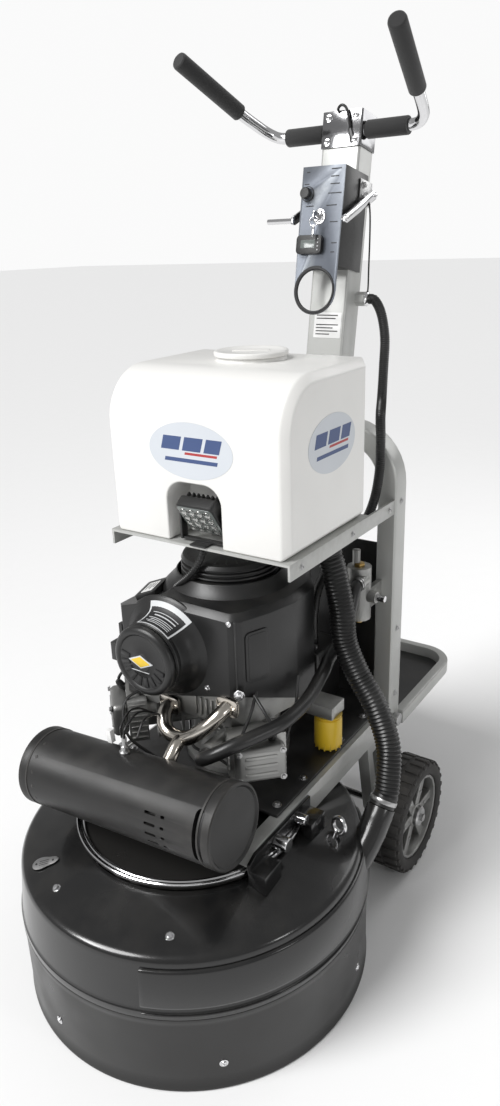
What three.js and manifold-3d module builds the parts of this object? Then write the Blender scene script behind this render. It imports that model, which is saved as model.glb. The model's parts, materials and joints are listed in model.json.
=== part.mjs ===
// High speed burnisher: propane engine on a two-rail chassis, belt-driven pad under a round deck,
// solution tank on a shelf, and a control post that folds back from the rear hoop.
// Millimetres, +Z up, front of the machine towards -Y. Built about the pad spindle's axis, then centred.
import * as THREE from 'three';
import { mergeVertices } from 'three/addons/utils/BufferGeometryUtils.js';
import Module from 'manifold-3d';

const wasm = await Module();
wasm.setup();

// ---- driving dimensions ----
const GAP = 0.3;                       // clearance kept between touching pieces
const DECK_R = 400;                    // skirt outer radius
const SKIRT_TOP = 195;
const SHOULDER_Z = 332;                // top of the deck cover's band
const PLATE_R = 252;                   // round plate in the top of the deck
const PLATE_Z = 372;                   // its underside
const PLATE_T = 12;
const DECK_TRIM_R = 259;               // chrome ring round the plate
const DECK_TRIM_TOP = 391;
const CRANK_Y = 190;                   // crankshaft axis behind the spindle
const FRAME_X = 235;                   // outer faces of rails and hoop
const RAIL_W = 30;
const RAIL_TOP = 430;
const RAIL_H = 65;
const RAIL_TIP_Y = -126;
const HOOP_Y = 550;                    // front face of the hoop's legs
const HOOP_D = 60;
const HOOP_W = 50;
const HOOP_TOP = 1167;
const HOOP_FOOT = 335;
const HOOP_BEND_R = 147;               // outer radius of the hoop's bends
const WALL = 3;                        // tube wall
const WHEEL_R = 150;
const WHEEL_Y = 504;
const WHEEL_IN = 264;                  // inner and outer faces of a wheel
const WHEEL_OUT = 356;
const AXLE_R = 10;
const TANK_X = 226;                    // half width of the tank
const TANK_FRONT = 70;
const TANK_BACK = 409;
const TANK_BOTTOM = 991;
const TANK_TOP = 1342;
const TANK_WALL = 5;
const CAP_Y = 300;
const NOTCH_X = 69;                    // half width of the recess for the work light
const NOTCH_TOP = 1122;
const NOTCH_BACK = 150;
const LIGHT_X = 12;
const LIGHT_Y = 88;
const LIGHT_Z = 1052;
const LIGHT_TILT = 35 * Math.PI / 180;
const STUB_AT = [188, 300];            // hose spigot under the tank tray
const CRADLE_REAR = 1010;              // rearmost face of the cylinder cradle
const ENGINE_BASE = RAIL_TOP + GAP + 8; // top of the engine plate
const AIR_X = -45;                     // air cleaner's axis, along Y
const AIR_Z = 770;
const AIR_R = 80;
const AIR_BACK = 66;
const HEAD_OUT = 257;                  // outer face of a cylinder head, from the crankshaft
const SHROUD_TOP = 880;
const SCREEN_R = 112;                  // ribbed screen that turns with the fan
const SCREEN_TOP = 944;
const CASTING_TOP = 698;               // top of the finned casting round the cylinders
const CYLINDER_Z = 575;                // height of the two cylinders' axes
const PULLEY_Z = 325;                  // lower face of both pulleys
const PULLEY_H = 26;
const CRANK_PULLEY_R = 45;
const SPINDLE_PULLEY_R = 85;
const BELT_T = 7;
const SPINDLE_R = 17;
const PAD_R = 356;
const PAD_T = 26;
const MUFFLER_R = 86;
const MUFFLER_LEN = 514;
const MUFFLER_TURN = 0.7 * Math.PI / 180;
const MUFFLER_RISE = 4.5 * Math.PI / 180; // right end higher
const MUFFLER_AT = [-20, -161, 511];   // its middle
const POST_LEAN = 10.3 * Math.PI / 180;
const PIVOT_Y = 637;                   // hinge of the control post
const PIVOT_Z = 1225;
const POST_W = 100;
const POST_D = 72;
const POST_TOP = 632;                  // along the post, from its hinge
const BOX_W = 110;
const BOX_FRONT = -101;                // front of the control box, across the post
const BOX_BACK = 12.5;
const BOX_LOW = 280;
const BOX_HIGH = 498;
const BAR_R = 12.7;
const BAR_U = -14;                     // handlebar's axis, across and along the post
const BAR_V = 592;
const GRIP_R = 19;
const GRIP_FROM = new THREE.Vector3(224, -136, 623);
const GRIP_TO = new THREE.Vector3(256.5, -330, 677.5);
const BUTTON_AT = [-38, 439];          // stop button and key on the panel, across and along the post
const KEY_AT = [-3, 388];
const BUTTON_R = 8;
const KEY_R = 7;
const RING_V = 225;                    // cup ring below the panel
const LEVER_U = 22;
const LEVER_V = 457;
const CENTRE_Y = (CRADLE_REAR - DECK_R) / 2; // middle of the footprint
const SIDES = ['left', 'right'];
const FINE = 36;                       // facets round the deck
const ROUND = 20;                      // facets round middling pieces
const SMALL = 12;                      // facets round pins and small tubes

// ---- materials ----
const paint = (color, roughness, metalness = 0) =>
  new THREE.MeshStandardMaterial({ color, roughness, metalness });
const STEEL_GREY = () => paint(0xa9aba6, 0.45, 0.4);
const BLACK_GLOSS = () => paint(0x0c0d0d, 0.25);
const BLACK_SATIN = () => paint(0x151616, 0.55);
const BLACK_RUBBER = () => paint(0x1a1b1b, 0.85);
const CHROME = () => paint(0xd9dbdd, 0.12, 1);
const CAST = () => paint(0x8f9290, 0.5, 0.8);
const MILD = () => paint(0x77797a, 0.4, 0.9);
const WHITE_PLASTIC = () => paint(0xeeece6, 0.4);
const YELLOW = () => paint(0xe0b421, 0.4);
const PANEL = () => paint(0x59616b, 0.4, 0.3);

// ---- geometry helpers ----
const box = (x0, x1, y0, y1, z0, z1) =>
  new THREE.BoxGeometry(x1 - x0, y1 - y0, z1 - z0)
    .translate((x0 + x1) / 2, (y0 + y1) / 2, (z0 + z1) / 2);

// a cylinder along Z between two heights
const rod = (r, z0, z1, n = SMALL, x = 0, y = 0) =>
  new THREE.CylinderGeometry(r, r, z1 - z0, n).rotateX(Math.PI / 2).translate(x, y, (z0 + z1) / 2);

// a cylinder along X between two places
const rodX = (r, x0, x1, y, z, n = SMALL) =>
  new THREE.CylinderGeometry(r, r, x1 - x0, n).rotateZ(Math.PI / 2).translate((x0 + x1) / 2, y, z);

// a cylinder along Y between two places
const rodY = (r, y0, y1, x, z, n = SMALL) =>
  new THREE.CylinderGeometry(r, r, y1 - y0, n).translate(x, (y0 + y1) / 2, z);

// radius of a faceted bore that a faceted shaft of radius r turns in
const running = (r, n = SMALL) => (r + GAP) / Math.cos(Math.PI / n);

// a ring about Z from [radius, height] pairs that run upwards on the outside
const turned = (profile, n = ROUND) => {
  const ring = [...profile, profile[0]].map(([r, z]) => new THREE.Vector2(r, z));
  return new THREE.LatheGeometry(ring, n).rotateX(Math.PI / 2);
};

// an outline in X and Y, extruded upwards
const slab = (shape, z0, z1, bevel = 0, curveSegments = 8) => {
  const geometry = new THREE.ExtrudeGeometry(shape, {
    depth: z1 - z0 - 2 * bevel, curveSegments, bevelEnabled: bevel > 0, bevelSize: bevel,
    bevelThickness: bevel, bevelOffset: -bevel, bevelSegments: 1 });
  return geometry.translate(0, 0, z0 + bevel);
};

// an outline in Y and Z, extruded along X
const side = (shape, x0, x1, bevel = 0, curveSegments = 8) =>
  slab(shape, x0, x1, bevel, curveSegments).applyMatrix4(
    new THREE.Matrix4().makeBasis(
      new THREE.Vector3(0, 1, 0), new THREE.Vector3(0, 0, 1), new THREE.Vector3(1, 0, 0)));

// an outline in X and Z, extruded along Y
const front = (shape, y0, y1, bevel = 0, curveSegments = 8) =>
  slab(shape, -y1, -y0, bevel, curveSegments).applyMatrix4(
    new THREE.Matrix4().makeBasis(
      new THREE.Vector3(1, 0, 0), new THREE.Vector3(0, 0, 1), new THREE.Vector3(0, -1, 0)));

const outline = (points) => new THREE.Shape(points.map(([a, b]) => new THREE.Vector2(a, b)));

const roundedRect = (a0, a1, b0, b1, r) => {
  const shape = new THREE.Shape();
  shape.moveTo(a0 + r, b0);
  shape.lineTo(a1 - r, b0);
  shape.absarc(a1 - r, b0 + r, r, -Math.PI / 2, 0);
  shape.lineTo(a1, b1 - r);
  shape.absarc(a1 - r, b1 - r, r, 0, Math.PI / 2);
  shape.lineTo(a0 + r, b1);
  shape.absarc(a0 + r, b1 - r, r, Math.PI / 2, Math.PI);
  shape.lineTo(a0, b0 + r);
  shape.absarc(a0 + r, b0 + r, r, Math.PI, 1.5 * Math.PI);
  return shape;
};

// a round tube along a smooth curve through hand-placed points
const hose = (points, radius, steps, sides = 10) => {
  const curve = new THREE.CatmullRomCurve3(points.map((p) => new THREE.Vector3(...p)));
  const section = new THREE.Shape();
  for (let i = 0; i < sides; i++) {
    const angle = 2 * Math.PI * i / sides;
    const step = i === 0 ? 'moveTo' : 'lineTo';
    section[step](radius * Math.cos(angle), radius * Math.sin(angle));
  }
  return new THREE.ExtrudeGeometry(section, { steps, extrudePath: curve, bevelEnabled: false });
};

const solid = (geometry) => {
  const bare = geometry.clone();
  bare.deleteAttribute('normal');
  bare.deleteAttribute('uv');
  const merged = mergeVertices(bare, 1e-3);
  const mesh = new wasm.Mesh({
    numProp: 3,
    vertProperties: Float32Array.from(merged.attributes.position.array),
    triVerts: Uint32Array.from(merged.index.array),
  });
  return new wasm.Manifold(mesh);
};

const shape3 = (manifold) => {
  const mesh = manifold.getMesh();
  const geometry = new THREE.BufferGeometry();
  geometry.setAttribute('position', new THREE.BufferAttribute(mesh.vertProperties, 3));
  geometry.setIndex(new THREE.BufferAttribute(mesh.triVerts, 1));
  geometry.computeVertexNormals();
  return geometry;
};

const join = (...pieces) => shape3(pieces.map(solid).reduce((a, b) => a.add(b)));
const cut = (body, ...tools) => shape3(tools.map(solid).reduce((a, b) => a.subtract(b), solid(body)));
const mirrored = (geometry) => {
  const flipped = geometry.clone().applyMatrix4(new THREE.Matrix4().makeScale(-1, 1, 1));
  const order = flipped.index ? flipped.index.array : null;
  if (order) {
    for (let i = 0; i < order.length; i += 3) [order[i], order[i + 1]] = [order[i + 1], order[i]];
    return flipped;
  }
  const position = flipped.attributes.position;
  for (let i = 0; i < position.count; i += 3) {
    const a = new THREE.Vector3().fromBufferAttribute(position, i);
    const b = new THREE.Vector3().fromBufferAttribute(position, i + 1);
    position.setXYZ(i, b.x, b.y, b.z);
    position.setXYZ(i + 1, a.x, a.y, a.z);
  }
  return flipped;
};
const onSide = (geometry, name) => (name === 'left' ? mirrored(geometry) : geometry);

const machine = new THREE.Group();
const post = new THREE.Group();

const add = (group, name, geometry, material) => {
  const mesh = new THREE.Mesh(geometry, material);
  mesh.name = name;
  group.add(mesh);
  return mesh;
};

// ---- deck ----
// everything inside the deck's outer surface, for pieces that stand against it
const deckEnvelope = (grow) => turned([
  [0, SKIRT_TOP], [DECK_R + grow, SKIRT_TOP], [DECK_R + grow, 212], [386 + grow, 318],
  [374 + grow, SHOULDER_Z + grow], [PLATE_R + GAP, PLATE_Z - 2 + grow], [0, PLATE_Z - 2 + grow]], FINE);
const trimClearance = () => rod(DECK_TRIM_R + 2, 340, DECK_TRIM_TOP + GAP, FINE);

function deckCover() {
  const wall = 5;
  return turned([
    [DECK_R - wall, SKIRT_TOP + GAP], [DECK_R, SKIRT_TOP + GAP], [DECK_R, 212], [386, 318],
    [374, SHOULDER_Z], [PLATE_R + GAP, PLATE_Z - 2], [PLATE_R + GAP, PLATE_Z - 2 - wall],
    [372, SHOULDER_Z - wall], [386 - wall, 317], [DECK_R - wall, 211]], FINE);
}

function deckSkirt() {
  return turned([[DECK_R - 6, 2], [DECK_R, 2], [DECK_R, SKIRT_TOP], [DECK_R - 6, SKIRT_TOP]], FINE);
}

// thick round plate on posts that carry the bearing housing below it
function deckPlate() {
  const plate = rod(PLATE_R, PLATE_Z, PLATE_Z + PLATE_T, FINE);
  const crankHole = rod(40, PLATE_Z - 5, PLATE_Z + PLATE_T + 5, ROUND, 0, CRANK_Y);
  const rim = turned([[200, PLATE_Z - 22], [PLATE_R - 12, PLATE_Z - 22], [PLATE_R - 12, PLATE_Z + 1],
    [200, PLATE_Z + 1]], ROUND);
  const windows = box(-62, 62, 120, 300, PLATE_Z - 60, PLATE_Z + 2);
  return join(cut(plate, crankHole), cut(rim, windows));
}

function spindleHousing() {
  const barrel = rod(52, 196, 310, ROUND);
  const flange = rod(130, 296, 310, ROUND);
  const posts = [-90, 32, 148].map((degrees) => {
    const angle = degrees * Math.PI / 180;
    return rod(11, 300, PLATE_Z - GAP, 8, 117 * Math.cos(angle), 117 * Math.sin(angle));
  });
  const bore = rod(running(SPINDLE_R), 150, 340);
  return cut(join(barrel, flange, ...posts), bore);
}

// upright plate bolted to the rail's front end, standing on the deck outside its chrome ring
function deckCheek() {
  const plate = outline([[-124, 393], [118, 393], [118, 426], [-100, 426], [-124, 414]]);
  const web = side(plate, FRAME_X + GAP, FRAME_X + 8);
  const feet = [[-124, -64], [60, 118]].map(([y0, y1]) => box(FRAME_X + 2, FRAME_X + 44, y0, y1, 345, 400));
  const studs = [rodX(15, FRAME_X + 1, FRAME_X + 38, -26, 408), rodX(10, FRAME_X + 1, FRAME_X + 32, 57, 411)];
  return cut(join(web, ...feet, ...studs), deckEnvelope(0.5), trimClearance());
}

add(machine, 'deck_skirt', deckSkirt(), BLACK_RUBBER());
add(machine, 'deck_cover', deckCover(), BLACK_GLOSS());
add(machine, 'deck_top_plate', deckPlate(), BLACK_GLOSS());
add(machine, 'spindle_housing', spindleHousing(), CAST());
add(machine, 'deck_trim_ring', turned([
  [240, PLATE_Z + PLATE_T + GAP], [DECK_TRIM_R - 1, PLATE_Z + PLATE_T + GAP], [DECK_TRIM_R, 388],
  [DECK_TRIM_R - 3, DECK_TRIM_TOP], [243, DECK_TRIM_TOP]], FINE),
CHROME());

// ---- pad drive ----
const belt = () => {
  const loop = (grow) => {
    const tilt = Math.asin((SPINDLE_PULLEY_R - CRANK_PULLEY_R) / CRANK_Y);
    const shape = new THREE.Shape();
    shape.absarc(0, 0, SPINDLE_PULLEY_R + grow, Math.PI - tilt, 2 * Math.PI + tilt);
    shape.absarc(0, CRANK_Y, CRANK_PULLEY_R + grow, tilt, Math.PI - tilt);
    return shape;
  };
  const ring = loop(GAP + BELT_T);
  ring.holes.push(new THREE.Path(loop(GAP).getPoints(9)));
  return slab(ring, PULLEY_Z + 3, PULLEY_Z + PULLEY_H - 3, 0, 9);
};
const pulley = (r, bore) => turned([
  [bore, PULLEY_Z], [r + 3, PULLEY_Z], [r + 3, PULLEY_Z + 2], [r, PULLEY_Z + 2.6],
  [r, PULLEY_Z + PULLEY_H - 2.6], [r + 3, PULLEY_Z + PULLEY_H - 2], [r + 3, PULLEY_Z + PULLEY_H],
  [bore, PULLEY_Z + PULLEY_H]], 20);

add(machine, 'drive_belt', belt(), BLACK_RUBBER());
add(machine, 'spindle_pulley', pulley(SPINDLE_PULLEY_R - 4, SPINDLE_R + GAP), MILD());
add(machine, 'pad_spindle', turned([
  [0, 60], [60, 60], [60, 70], [30, 78], [SPINDLE_R, 84], [SPINDLE_R, 362], [0, 362]], SMALL), MILD());
add(machine, 'pad_driver', turned([
  [0, PAD_T + GAP], [346, PAD_T + GAP], [350, 34], [346, 44], [120, 46], [90, 60 - GAP], [0, 60 - GAP]],
ROUND), BLACK_SATIN());
add(machine, 'burnishing_pad', turned([
  [38, 0], [PAD_R - 4, 0], [PAD_R, 5], [PAD_R, PAD_T - 4], [PAD_R - 3, PAD_T], [38, PAD_T]], 36),
paint(0xc9a07a, 0.95));

// ---- chassis ----
function rail() {
  const low = RAIL_TOP - RAIL_H;
  const rear = HOOP_Y - GAP;
  const profile = outline([[RAIL_TIP_Y, 410], [-80, RAIL_TOP], [rear, RAIL_TOP], [rear, low], [118, low],
    [112, 380], [112, 408], [-98, 408]]);
  const bar = side(profile, FRAME_X - RAIL_W, FRAME_X);
  const hollow = box(FRAME_X - RAIL_W + WALL, FRAME_X - WALL, 190, HOOP_Y + 5, low + WALL, RAIL_TOP - WALL);
  return cut(bar, hollow, deckEnvelope(0.5), trimClearance());
}

function archShape(inset, foot) {
  const x = FRAME_X - inset;
  const r = HOOP_BEND_R - inset;
  const innerX = FRAME_X - HOOP_W + inset;
  const innerR = HOOP_BEND_R - HOOP_W + inset;
  const top = HOOP_TOP - inset;
  const turn = HOOP_TOP - HOOP_BEND_R;
  const innerTop = HOOP_TOP - HOOP_W + inset;
  const shape = new THREE.Shape();
  shape.moveTo(-x, foot);
  shape.lineTo(-innerX, foot);
  shape.lineTo(-innerX, turn);
  shape.absarc(-innerX + innerR, turn, innerR, Math.PI, Math.PI / 2, true);
  shape.lineTo(innerX - innerR, innerTop);
  shape.absarc(innerX - innerR, turn, innerR, Math.PI / 2, 0, true);
  shape.lineTo(innerX, foot);
  shape.lineTo(x, foot);
  shape.lineTo(x, turn);
  shape.absarc(x - r, turn, r, 0, Math.PI / 2);
  shape.lineTo(-x + r, top);
  shape.absarc(-x + r, turn, r, Math.PI / 2, Math.PI);
  return shape;
}

function rearHoop() {
  const tube = front(archShape(0, HOOP_FOOT), HOOP_Y, HOOP_Y + HOOP_D, 4, 5);
  const hollow = front(archShape(WALL, HOOP_FOOT - 20), HOOP_Y + WALL, HOOP_Y + HOOP_D - WALL, 0, 5);
  return cut(tube, hollow);
}

function cradleBar() {
  const outer = (x, rear, r) => {
    const shape = new THREE.Shape();
    const start = HOOP_Y + HOOP_D + GAP;
    shape.moveTo(x, start);
    shape.lineTo(x, rear - r);
    shape.absarc(x - r, rear - r, r, 0, Math.PI / 2);
    shape.lineTo(-x + r, rear);
    shape.absarc(-x + r, rear - r, r, Math.PI / 2, Math.PI);
    shape.lineTo(-x, start);
    return shape;
  };
  const bar = slab(outer(247.5, CRADLE_REAR, 90), 340, 380, 3, 6);
  const gap = slab(outer(222.5, CRADLE_REAR - 25, 65), 330, 390, 0, 6);
  const tail = box(-222.5, 222.5, 560, 640, 330, 390);
  return cut(bar, gap, tail);
}

// black sheet floor and back panel that a gas cylinder stands on
function cylinderTray() {
  const x = 222;
  const rear = CRADLE_REAR - 25 - 0.5;
  const start = HOOP_Y + HOOP_D + 2 * GAP;
  const floor = new THREE.Shape();
  floor.moveTo(-x, start);
  floor.lineTo(x, start);
  floor.lineTo(x, rear - 65);
  floor.absarc(x - 65, rear - 65, 65, 0, Math.PI / 2);
  floor.lineTo(-x + 65, rear);
  floor.absarc(-x + 65, rear - 65, 65, Math.PI / 2, Math.PI);
  const panel = box(-205, 205, start, start + 5, 346, 850);
  return join(slab(floor, 344, 350), panel);
}

function axleBracket() {
  const plate = new THREE.Shape();
  plate.moveTo(430, RAIL_TOP - RAIL_H - GAP);
  plate.lineTo(474, 146);
  plate.absarc(WHEEL_Y, WHEEL_R, 30, Math.PI, 2 * Math.PI);
  plate.lineTo(HOOP_Y - 2, RAIL_TOP - RAIL_H - GAP);
  const window = outline([[462, 330], [489, 215], [519, 215], [526, 330]]);
  const bore = rodX(AXLE_R + GAP, 150, 260, WHEEL_Y, WHEEL_R);
  return cut(side(plate, 200, 230), side(window, 190, 240), bore);
}

function tankTray() {
  const floor = box(-FRAME_X + 3, FRAME_X - 3, 66, TANK_BACK + 8, 984, 990.5);
  const lip = (x0, x1) => box(x0, x1, 66, HOOP_Y - GAP, 955, 990.5);
  const backRail = box(-FRAME_X + 4, FRAME_X - 4, 404, TANK_BACK + 8, 955, 988);
  const hoseStub = rod(24, 954, 986, SMALL, ...STUB_AT);
  return join(floor, lip(-FRAME_X + 3, -FRAME_X + 9), lip(FRAME_X - 9, FRAME_X - 3), backRail, hoseStub);
}

for (const name of SIDES) {
  add(machine, `rail_${name}`, onSide(rail(), name), STEEL_GREY());
  add(machine, `deck_cheek_${name}`, onSide(deckCheek(), name), BLACK_SATIN());
  add(machine, `axle_bracket_${name}`, onSide(axleBracket(), name), STEEL_GREY());
}
add(machine, 'rear_hoop', rearHoop(), STEEL_GREY());
add(machine, 'axle', rodX(AXLE_R, -361, 361, WHEEL_Y, WHEEL_R), MILD());
add(machine, 'cradle_bar', cradleBar(), STEEL_GREY());
add(machine, 'cylinder_tray', cylinderTray(), BLACK_SATIN());
add(machine, 'tank_tray', tankTray(), STEEL_GREY());

// ---- wheels ----
function tyre() {
  return turned([
    [112, WHEEL_IN + 6], [130, WHEEL_IN], [WHEEL_R - 6, WHEEL_IN + 8], [WHEEL_R, WHEEL_IN + 22],
    [WHEEL_R, WHEEL_OUT - 22], [WHEEL_R - 6, WHEEL_OUT - 8], [130, WHEEL_OUT], [112, WHEEL_OUT - 6]]);
}

function rim() {
  const barrel = turned([
    [100, WHEEL_IN + 10], [112 - GAP, WHEEL_IN + 8], [112 - GAP, WHEEL_OUT - 8], [104, WHEEL_OUT - 8]]);
  const hub = turned([
    [running(AXLE_R), WHEEL_IN + 4], [26, WHEEL_IN + 4], [30, WHEEL_OUT - 16],
    [running(AXLE_R), WHEEL_OUT - 10]], SMALL);
  const spokes = [];
  for (let i = 0; i < 6; i++) {
    const spoke = box(24, 106, -13, 13, WHEEL_OUT - 40, WHEEL_OUT - 20);
    spokes.push(spoke.rotateZ(i * Math.PI / 3));
  }
  return join(barrel, hub, ...spokes);
}

const stood = (geometry) => geometry.applyMatrix4(new THREE.Matrix4().makeBasis(
  new THREE.Vector3(0, 1, 0), new THREE.Vector3(0, 0, 1), new THREE.Vector3(1, 0, 0)))
  .translate(0, WHEEL_Y, WHEEL_R);
for (const name of SIDES) {
  add(machine, `tyre_${name}`, onSide(stood(tyre()), name), BLACK_RUBBER());
  add(machine, `wheel_rim_${name}`, onSide(stood(rim()), name), CAST());
}

// ---- solution tank and work light ----
const archway = (halfWidth, y0, y1, low, top) => {
  const r = 42;
  const shape = new THREE.Shape();
  shape.moveTo(-halfWidth, low);
  shape.lineTo(halfWidth, low);
  shape.lineTo(halfWidth, top - r);
  shape.absarc(halfWidth - r, top - r, r, 0, Math.PI / 2);
  shape.lineTo(-halfWidth + r, top);
  shape.absarc(-halfWidth + r, top - r, r, Math.PI / 2, Math.PI);
  return front(shape, y0, y1, 0, 5);
};

function tankShape(inset) {
  const curve = 112 - inset;
  const f = TANK_FRONT + inset;
  const top = TANK_TOP - inset;
  const shape = new THREE.Shape();
  shape.moveTo(f, TANK_BOTTOM + inset);
  shape.lineTo(TANK_BACK - inset, TANK_BOTTOM + inset);
  shape.lineTo(TANK_BACK - inset, top);
  shape.lineTo(f + curve, top);
  shape.absarc(f + curve, top - curve, curve, Math.PI / 2, Math.PI);
  return shape;
}

function solutionTank() {
  const outer = side(tankShape(0), -TANK_X, TANK_X, 16, 6);
  const notch = archway(NOTCH_X, 40, NOTCH_BACK, 950, NOTCH_TOP);
  const inner = side(tankShape(TANK_WALL), -TANK_X + TANK_WALL, TANK_X - TANK_WALL, 14, 6);
  const keepOff = archway(NOTCH_X + TANK_WALL, 40, NOTCH_BACK + TANK_WALL, 950, NOTCH_TOP + TANK_WALL);
  const hollow = cut(inner, keepOff);
  const neck = turned([[62, TANK_TOP - 8], [76, TANK_TOP - 8], [76, TANK_TOP + 8], [62, TANK_TOP + 8]])
    .translate(0, CAP_Y, 0);
  const mouth = rod(62, TANK_TOP - 30, TANK_TOP + 30, ROUND, 0, CAP_Y);
  return cut(join(cut(outer, notch), neck), hollow, mouth);
}

add(machine, 'solution_tank', solutionTank(), WHITE_PLASTIC());
add(machine, 'tank_cap', turned([
  [0, TANK_TOP - 6], [61 - GAP, TANK_TOP - 6], [61 - GAP, TANK_TOP + 8 + GAP], [80, TANK_TOP + 8 + GAP],
  [80, TANK_TOP + 17], [76, TANK_TOP + 20], [0, TANK_TOP + 20]]).translate(0, CAP_Y, 0), WHITE_PLASTIC());

function lightBracket() {
  const base = box(LIGHT_X - 20, LIGHT_X + 20, 60, 100, 991, 995);
  const yoke = box(LIGHT_X - 56, LIGHT_X + 56, 82, 94, 995 - 0.5, 1000);
  const ears = [-1, 1].map((s) => box(LIGHT_X + s * 54 - 2, LIGHT_X + s * 54 + 2, 78, 98, 996, LIGHT_Z + 10));
  return join(base, yoke, ...ears);
}
function workLight() {
  const body = slab(roundedRect(-48, 48, -44, 44, 10), -14, 14, 3, 3);
  const fins = [];
  for (let i = -3; i <= 3; i++) fins.push(box(i * 12 - 2, i * 12 + 2, -36, 36, 12, 28));
  const pivots = rodX(6, -50, 50, 0, 0, 12);
  return join(body, ...fins, pivots).rotateX(LIGHT_TILT - Math.PI / 2)
    .translate(LIGHT_X, LIGHT_Y, LIGHT_Z);
}
add(machine, 'light_bracket', lightBracket(), BLACK_SATIN());
add(machine, 'work_light', workLight(), BLACK_SATIN());

// ---- engine ----
function enginePlate() {
  const x = FRAME_X - 12;
  const plate = box(-x, x, 10, HOOP_Y - 5, RAIL_TOP + GAP, ENGINE_BASE);
  return cut(plate, rod(40, 400, 460, ROUND, 0, CRANK_Y));
}

const bank = (s, geometry) => geometry.rotateZ(s * Math.PI / 4).translate(0, CRANK_Y, 0);

const SHROUD = [[-200, 70], [-192, 30], [-168, 6], [118, 6], [142, 24], [168, 90], [186, 160], [180, 250],
  [120, 336], [-120, 336], [-180, 250], [-200, 150]];
const shroudShape = (grow) => outline(SHROUD.map(([x, y]) => {
  const reach = 1 + grow / Math.hypot(x, y - CRANK_Y);
  return [x * reach, CRANK_Y + (y - CRANK_Y) * reach];
}));

const airClearance = () => rodY(AIR_R + 3, -100, AIR_BACK + 4, AIR_X, AIR_Z, ROUND);

function engineBlock() {
  const parts = [rod(126, ENGINE_BASE + GAP, 456, ROUND, 0, CRANK_Y), rod(104, 450, 606, ROUND, 0, CRANK_Y)];
  for (const s of [-1, 1]) {
    parts.push(bank(s, rodY(46, -215, -60, 0, CYLINDER_Z, 16)));
    for (let i = 0; i < 3; i++) {
      const y = -134 - i * 28;
      parts.push(bank(s, box(-58, 58, y - 3, y + 3, CYLINDER_Z - 52, CYLINDER_Z + 40)));
    }
    parts.push(bank(s, box(-60, 60, -HEAD_OUT, -213, CYLINDER_Z - 54, CYLINDER_Z + 48)));
  }
  const filterArm = box(60, 222, 255, 315, 536, 566);
  const starter = rod(34, 470, 600, SMALL, -128, 300);
  const starterFoot = box(-128, -60, 262, 300, 470, 520);
  const casting = cut(slab(shroudShape(-9), 614, CASTING_TOP), airClearance());
  const mixer = rodY(22, -46, 100, 92, 580);
  const bore = rod(running(16), 400, 720, SMALL, 0, CRANK_Y);
  return cut(join(...parts, casting, mixer, filterArm, starter, starterFoot), bore);
}

function valveCover(s) {
  const plate = front(roundedRect(-54, 54, CYLINDER_Z - 42, CYLINDER_Z + 38, 12), -HEAD_OUT - 36, -HEAD_OUT - GAP,
    7, 4);
  return bank(s, plate);
}

// moulded cover over the fan, its lower edge dropping towards the rear
function blowerHousing() {
  // the low side on the left, as a wedge above the cover's shoulder
  const leftSlope = (drop) => front(outline([[-300, 740 - drop], [-215, 782 - drop], [-190, 832 - drop],
    [-90, 866 - drop], [-40, 900 - drop], [-40, 940], [-300, 940]]), -60, 400);
  const outer = cut(slab(shroudShape(0), 560, SHROUD_TOP, 14), leftSlope(0));
  const inner = cut(slab(shroudShape(-4), 540, SHROUD_TOP - 4, 10), leftSlope(4));
  // its lower edge is a plane that drops to the left and to the rear
  const slope = new THREE.Matrix4().set(1, 0, 0, 0, 0, 1, 0, 0, 0.272, -0.509, 1, 667, 0, 0, 0, 1);
  const below = box(-300, 300, -100, 400, -400, 0).applyMatrix4(slope);
  const floor = box(-300, 300, -100, 400, 500, 626);
  const screenHole = rod(SCREEN_R + 4, SHROUD_TOP - 40, SHROUD_TOP + 20, ROUND, 0, CRANK_Y);
  return cut(outer, inner, below, floor, airClearance(), screenHole);
}

function fanScreen() {
  const profile = [[0, 704], [116, 704], [116, 726], [60, 732], [26, 744], [26, 850], [SCREEN_R, 866]];
  for (let i = 0; i < 4; i++) {
    const z = SHROUD_TOP + i * 14;
    profile.push([SCREEN_R, z], [SCREEN_R - 7, z + 4], [SCREEN_R - 7, z + 8], [SCREEN_R, z + 12]);
  }
  profile.push([SCREEN_R - 8, SCREEN_TOP], [0, SCREEN_TOP]);
  return turned(profile, ROUND).translate(0, CRANK_Y, 0);
}

const airCleaner = () => rodY(AIR_R, -58, AIR_BACK, AIR_X, AIR_Z, ROUND);

// U-shaped pipe from both exhaust ports, with a branch down to the muffler
function exhaustHeader() {
  const face = 12.6;
  const bend = hose([[112, face, 672], [112, 4, 672], [106, -20, 662], [90, -38, 642], [66, -48, 620],
    [38, -52, 602], [4, -50, 597], [-22, -44, 604], [-38, -28, 619], [-45, -8, 628], [-46, 4, 630],
    [-46, face, 630]], 16, 20, 8);
  const branch = hose([[30, -52, 600], [30, -73, 595.6], [30, -93.6, 577.3]], 15, 3, 8);
  return join(bend, branch);
}

function muffler() {
  const can = rodX(MUFFLER_R, -MUFFLER_LEN / 2, MUFFLER_LEN / 2, 0, 0, ROUND);
  const hollow = rodX(MUFFLER_R - WALL, -MUFFLER_LEN / 2 + WALL, MUFFLER_LEN / 2 - 10, 0, 0, ROUND);
  const slot = front(roundedRect(217, 238, -58, 58, 10.4), -120, -40, 0, 3);
  return cut(can, hollow, slot.rotateX(0.25)).rotateY(-MUFFLER_RISE).rotateZ(MUFFLER_TURN)
    .translate(...MUFFLER_AT);
}

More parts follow.
